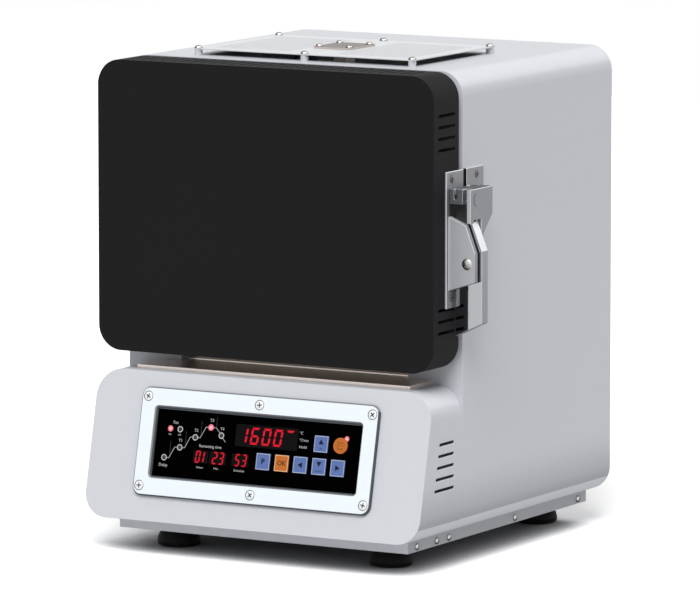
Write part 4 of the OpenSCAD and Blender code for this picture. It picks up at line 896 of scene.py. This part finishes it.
class Sheet:

    def __init__(self):
        self.shape = bmesh.new()
        self.finish = 0

    def outline(self, points, out):
        corners = [self.shape.verts.new(onFace(x, v, out)) for x, v in points]
        base = [self.shape.verts.new(onFace(x, v, out - faceSetup["print"])) for x, v in points]
        faces = [self.shape.faces.new(corners), self.shape.faces.new(list(reversed(base)))]
        for i in range(len(points)):
            j = (i + 1) % len(points)
            faces.append(self.shape.faces.new((corners[j], corners[i], base[i], base[j])))
        for face in faces:
            face.material_index = self.finish

    def line(self, points, width, out):
        half = width / 2
        left, right = [], []
        for i, point in enumerate(points):
            before = Vector(points[max(0, i - 1)])
            after = Vector(points[min(len(points) - 1, i + 1)])
            here = Vector(point)
            first = (here - before).normalized() if i else (after - here).normalized()
            second = (after - here).normalized() if i < len(points) - 1 else first
            across = Vector((-(first + second).y, (first + second).x)).normalized()
            reach = half / max(faceSetup["miter"], across.dot(Vector((-first.y, first.x))))
            left.append(here + across * reach)
            right.append(here - across * reach)
        for i in range(len(points) - 1):
            self.outline([right[i], right[i + 1], left[i + 1], left[i]], out)

    def ring(self, x, v, outer, inner, out, steps=24):
        for i in range(steps):
            a, b = 2 * math.pi * i / steps, 2 * math.pi * (i + 1) / steps
            self.outline([(x + radius * math.cos(angle), v + radius * math.sin(angle))
                          for radius, angle in ((inner, a), (outer, a), (outer, b), (inner, b))], out)

    def disc(self, x, v, radius, out, steps=24):
        angles = [2 * math.pi * i / steps for i in range(steps)]
        self.outline([(x + radius * math.cos(a), v + radius * math.sin(a)) for a in angles], out)

    # height is a capital letter's, which is smaller than the font's size
    def words(self, text, x, v, height, out, wide=1.0, bold=0.0):
        curve = bpy.data.curves.new("words", "FONT")
        curve.body = text
        curve.align_x = "CENTER"
        curve.align_y = "CENTER"
        curve.size = height / faceSetup["capital"] * mm
        curve.resolution_u = 3
        curve.extrude = faceSetup["print"] / 2 * mm
        curve.offset = bold * mm
        mesh = bake(addObject("words", curve))
        shift = Matrix.Translation(Vector((x, v, out - faceSetup["print"] / 2)) * mm)
        mesh.transform(faceFrame @ shift @ Matrix.Diagonal((wide, 1, 1, 1)))
        count = len(self.shape.faces)
        self.shape.from_mesh(mesh)
        self.shape.faces.ensure_lookup_table()
        for face in self.shape.faces[count:]:
            face.material_index = self.finish

    def piece(self, name, body, finishNames, slot):
        mesh = bpy.data.meshes.new(name)
        self.shape.to_mesh(mesh)
        self.shape.free()
        for finish in finishNames:
            mesh.materials.append(materials[finish])
        addPiece(name, mesh, None, body)


# Programme curve with its lamps, and the words round it

curveSetup = {"ring": 3.15, "bore": 2.15, "line": 0.5, "run": 2.5, "lastRun": 2.9, "joinX": 0.6, "joinV": 0.8,
              "out": 0.07}
stops = {"Delay": (-105.6, -14.8), "T1": (-88.65, -3.6), "T2": (-71.95, 7.7), "T3": (-54.9, 18.9),
         "T4": (-42.1, 11.7)}
fanLamps = {"On": (-101.45, 14.5), "Off": (-90.25, 14.5)}
curveEnd = (-36.7, 5.5)
# each word's middle, its height, and how much wider than the font it is
panelWords = (("T1", -88.4, 3.3, 3.0, 1.0), ("T2", -71.5, 14.7, 3.0, 1.0), ("T3", -54.4, 25.8, 3.0, 1.0),
              ("T4", -41.8, 18.2, 3.0, 1.0), ("Fan", -95.9, 20.9, 3.1, 1.0), ("On", -101.5, 8.7, 1.7, 1.1),
              ("Off", -90.5, 8.7, 1.7, 1.15), ("Delay", -105.8, -22.4, 3.2, 1.0),
              ("Remaining time", -53.5, -0.3, 3.0, 1.0), ("Hour", -63.1, -21.8, 2.1, 1.3),
              ("Min.", -44.2, -21.7, 2.1, 1.2), ("Schedule", -17.8, -21.7, 2.2, 1.15),
              ("°C", 48.9, 21.0, 2.8, 1.0), ("°C/min", 52.7, 14.0, 2.7, 1.0), ("Hold", 52.2, 7.2, 2.8, 1.15))

white = Sheet()
s = curveSetup
ring, out = s["ring"], s["out"]
names = list(stops)
for a, b in zip(names, names[1:]):
    (ax, av), (bx, bv) = stops[a], stops[b]
    if a == "T3":
        bends = [(ax + ring, av), (ax + ring + s["lastRun"], av),
                 (bx - ring * s["joinX"], bv + ring * s["joinV"])]
    else:
        bends = [(ax + ring, av), (ax + ring + s["run"], av), (bx - ring - s["run"], bv), (bx - ring, bv)]
    white.line(bends, s["line"], out)
white.line([(bx + ring * s["joinX"], bv - ring * s["joinV"]), curveEnd], s["line"], out)
for name, (x, v) in stops.items():
    if name != "T3":
        white.ring(x, v, ring, s["bore"], out)
white.ring(*fanLamps["Off"], ring, s["bore"], out)
for text, x, v, height, wide in panelWords:
    white.words(text, x, v, height, out, wide)
white.piece("panel_print", "cabinet", ["print_white"], "panel_black")

# dashes beside the curve: how far right of a stop they stand, and from and to which height above it
dashSetup = {"long": 0.9, "wide": 0.28, "pitch": 1.75, "dot": 1.15, "dotBore": 0.75, "dotSteps": 16}
dashRows = {"Delay": (6.1, 1.2, 16), "T1": (5.9, 3.0, 16.5), "T2": (6.1, 3.0, 17), "T3": (6.1, 0.8, 9.8)}
dashes = Sheet()
s = dashSetup
for name, (side, low, high) in dashRows.items():
    x, v = stops[name]
    step = low
    while step < high:
        dashes.line([(x + side, v + step), (x + side, v + step + s["long"])], s["wide"], out)
        step += s["pitch"]
for x, v in [stops[name] for name in names if name != "T3"] + [fanLamps["Off"]]:
    dashes.ring(x, v, s["dot"], s["dotBore"], out, s["dotSteps"])
dashes.piece("panel_print_dashes", "cabinet", ["print_grey"], "panel_black")

lampSetup = {"fan": 3.0, "stop": 3.2, "start": 2.7, "startSpot": (100.9, 19.1), "out": 0.12, "core": 0.36,
             "coreOut": 0.17}
lamps = Sheet()
s = lampSetup
for x, v, radius in ((*fanLamps["On"], s["fan"]), (*stops["T3"], s["stop"]), (*s["startSpot"], s["start"])):
    lamps.finish = 0
    lamps.disc(x, v, radius, s["out"])
    lamps.finish = 1
    lamps.disc(x, v, radius * s["core"], s["coreOut"])
lamps.piece("panel_lamps", "cabinet", ["lamp_pink", "lamp_core"], "display_red")


# Seven-segment digits behind the dark windows

digitRows = ({"signs": "1600-", "x": (-16.8, -3.6, 9.6, 22.9, 35.9), "v": 14.0, "width": 9.4, "height": 17.0,
              "stroke": 2.1},
             {"signs": "012353", "x": (-66.6, -61.8, -46.9, -39.5, -20.9, -13.1), "v": -11.2, "width": 5.3,
              "height": 12.2, "stroke": 1.35})
digitSetup = {"lean": 6, "gap": 0.16, "out": 0.05}
segmentsOf = {"0": "abcdef", "1": "bc", "2": "abdeg", "3": "abcdg", "5": "acdfg", "6": "acdefg", "-": "a"}


def digit(sheet, sign, x, v, width, height, stroke):
    w, h, t = width / 2 - stroke / 2, height / 2 - stroke / 2, stroke / 2
    gap = stroke * digitSetup["gap"]
    shear = math.tan(math.radians(digitSetup["lean"]))
    ends = {"a": ((-w, h), (w, h)), "g": ((-w, 0), (w, 0)), "d": ((-w, -h), (w, -h)),
            "f": ((-w, 0), (-w, h)), "b": ((w, 0), (w, h)), "e": ((-w, -h), (-w, 0)), "c": ((w, -h), (w, 0))}
    for key in segmentsOf[sign]:
        (ax, ay), (bx, by) = ends[key]
        along = Vector((bx - ax, by - ay)).normalized()
        across = Vector((-along.y, along.x))
        a = Vector((ax, ay)) + along * gap
        b = Vector((bx, by)) - along * gap
        if key in "ad":
            inward = across if key == "d" else -across
            points = [a - along * t - inward * t, b + along * t - inward * t, b - along * t + inward * t,
                      a + along * t + inward * t]
        else:
            points = [a, a + along * t + across * t, b - along * t + across * t, b,
                      b - along * t - across * t, a + along * t - across * t]
        if (points[1] - points[0]).cross(points[2] - points[1]) < 0:
            points.reverse()
        sheet.outline([(x + p.x + p.y * shear, v + p.y) for p in points], digitSetup["out"])


digits = Sheet()
for row in digitRows:
    for sign, x in zip(row["signs"], row["x"]):
        digit(digits, sign, x, row["v"], row["width"], row["height"], row["stroke"])
digits.piece("display_digits", "cabinet", ["digit_red"], "display_red")
print("panel printed")


# Keys: a soft cap, a pale border and a dark sign, each on its own body

keySetup = {"border": 0.75, "inset": 0.2, "edge": 0.3, "print": 0.05, "rim": 0.05}
arrowSetup = {"size": 2.9, "tip": 0.95, "tail": 0.85, "wordDown": 4.6, "wordHeight": 1.9, "wordWide": 1.2}
arrowTurns = {"key_left": 180, "key_down": 270, "key_right": 0, "key_up": 90}
arrowWords = {"key_up": ("Up", 2.2), "key_down": ("Down", 2.4)}  # the word, and how far it lifts the arrow
letterKeys = {"key_p": ("P", 5.3), "key_ok": ("OK", 4.7)}
letterBold = 0.28
startSetup = {"height": 2.9, "up": 2.9, "down": 3.0, "half": 5.4, "line": 0.4}


# the cap's centre on the face, its half width and half height, and how far it stands out
def capOf(node):
    spots = [faceFrame.inverted() @ vert.co / mm for vert in nodes[node].data.vertices]
    top = max(spot.z for spot in spots)
    cap = [spot for spot in spots if spot.z > top - keySetup["rim"]]
    low = [min(spot[k] for spot in cap) for k in range(2)]
    high = [max(spot[k] for spot in cap) for k in range(2)]
    return ((low[0] + high[0]) / 2, (low[1] + high[1]) / 2, (high[0] - low[0]) / 2, (high[1] - low[1]) / 2,
            top)


def border(sheet, x, v, w, h, out):
    b = keySetup["border"]
    for x0, x1, v0, v1 in ((-w, w, h - b, h), (-w, w, -h, b - h), (-w, b - w, b - h, h - b),
                           (w - b, w, b - h, h - b)):
        sheet.outline([(x + x0, v + v0), (x + x1, v + v0), (x + x1, v + v1), (x + x0, v + v1)], out)


def arrow(sheet, node, x, v, out):
    s = arrowSetup
    word, lift = arrowWords.get(node, ("", 0))
    a = math.radians(arrowTurns[node])
    tip, tail, half = s["size"] * s["tip"], -s["size"] * s["tail"], s["size"]
    sheet.outline([(x + px * math.cos(a) - py * math.sin(a), v + lift + px * math.sin(a) + py * math.cos(a))
                   for px, py in ((tip, 0), (tail, half), (tail, -half))], out)
    if word:
        sheet.words(word, x, v - s["wordDown"], s["wordHeight"], out, s["wordWide"])


def startWords(sheet, x, v, out):
    s = startSetup
    sheet.words("Start", x, v + s["up"], s["height"], out)
    sheet.line([(x - s["half"], v), (x + s["half"], v)], s["line"], out)
    sheet.words("Stop", x, v - s["down"], s["height"], out)


for node in ("key_p", "key_ok", "key_left", "key_down", "key_right", "key_up", "key_start"):
    x, v, halfWide, halfHigh, top = capOf(node)
    keyOut = top + keySetup["print"]
    softCopy(node, keySetup["edge"])
    sign = Sheet()
    # the round key has no border: its lamp lies over its edge
    if node != "key_start":
        border(sign, x, v, halfWide - keySetup["inset"], halfHigh - keySetup["inset"], keyOut)
    sign.finish = 1
    if node in arrowTurns:
        arrow(sign, node, x, v, keyOut)
    elif node in letterKeys:
        sign.words(letterKeys[node][0], x, v, letterKeys[node][1], keyOut, bold=letterBold)
    else:
        startWords(sign, x, v, keyOut)
    inks = ["print_cream", "print_brown"] if slotOf[node] == "key_orange" else ["print_pale", "print_dark"]
    sign.piece(node + "_sign", bodyOf[node], inks, slotOf[node])
print("keys dressed")


# Floor, backdrop and light

stageSetup = {"floor": 8.0, "floorColor": (0.80, 0.80, 0.80), "ambient": 0.36, "reach": 0.075, "lift": 1.5,
              "samples": 8,
              "shade": ((0.0, 0.13), (0.06, 0.23), (0.2, 0.33), (0.33, 0.44), (0.42, 0.72), (0.47, 1.0))}
floorMesh = bpy.data.meshes.new("floor")
half = stageSetup["floor"] / 2
floorMesh.from_pydata([(-half, -half, 0), (half, -half, 0), (half, half, 0), (-half, half, 0)], [],
                      [(0, 1, 2, 3)])
floor = addObject("floor", floorMesh)
floorMaterial = bpy.data.materials.new("floor")
floorMaterial.use_nodes = True
tree = floorMaterial.node_tree
link = tree.links.new
shader = tree.nodes["Principled BSDF"]
shader.inputs["Roughness"].default_value = 1.0
shader.inputs["Specular IOR Level"].default_value = 0.0
# painted shadow: the camera sees the floor white, but for the shadow close under the furnace, drawn from its
# occlusion
path = addNode(tree, "ShaderNodeLightPath")
near = addNode(tree, "ShaderNodeAmbientOcclusion", {"Distance": stageSetup["reach"]},
               samples=stageSetup["samples"])
ramp = addNode(tree, "ShaderNodeValToRGB")
while len(ramp.color_ramp.elements) < len(stageSetup["shade"]):
    ramp.color_ramp.elements.new(0.5)
for stop, (spot, grey) in zip(ramp.color_ramp.elements, stageSetup["shade"]):
    stop.position = spot
    stop.color = (grey, grey, grey, 1)
lift = addNode(tree, "ShaderNodeVectorMath", operation="SCALE")
lift.inputs["Scale"].default_value = stageSetup["lift"]
seen = addNode(tree, "ShaderNodeMix", {6: (*stageSetup["floorColor"], 1)}, data_type="RGBA")
link(near.outputs["AO"], ramp.inputs[0])
link(ramp.outputs["Color"], lift.inputs[0])
link(lift.outputs[0], seen.inputs[7])
link(path.outputs["Is Camera Ray"], seen.inputs[0])
link(seen.outputs[2], shader.inputs["Base Color"])
floorMesh.materials.append(floorMaterial)

# the world is white for the camera, and in metal and glass
world = bpy.data.worlds.new("studio")
bpy.context.scene.world = world
world.use_nodes = True
tree = world.node_tree
link = tree.links.new
background = tree.nodes["Background"]
background.inputs["Color"].default_value = (1, 1, 1, 1)
path = addNode(tree, "ShaderNodeLightPath")
most = addNode(tree, "ShaderNodeMath", operation="MAXIMUM")
last = addNode(tree, "ShaderNodeMath", operation="MAXIMUM")
level = addNode(tree, "ShaderNodeMapRange", {"To Min": stageSetup["ambient"], "To Max": 1.0})
link(path.outputs["Is Camera Ray"], most.inputs[0])
link(path.outputs["Is Glossy Ray"], most.inputs[1])
link(most.outputs[0], last.inputs[0])
link(path.outputs["Is Transmission Ray"], last.inputs[1])
link(last.outputs[0], level.inputs["Value"])
link(level.outputs["Result"], background.inputs["Strength"])

suns = {"main": {"from": (0.23, -0.56, 0.74), "strength": 2.15, "soft": 35},
        "rim": {"from": (0.45, 0.62, 0.64), "strength": 0.35, "soft": 40}}
for name, s in suns.items():
    light = bpy.data.lights.new(name, "SUN")
    light.energy = s["strength"]
    light.angle = math.radians(s["soft"])
    lamp = addObject(name, light)
    lamp.rotation_mode = "QUATERNION"
    lamp.rotation_quaternion = Vector(s["from"]).to_track_quat("Z", "Y")
print("stage lit")
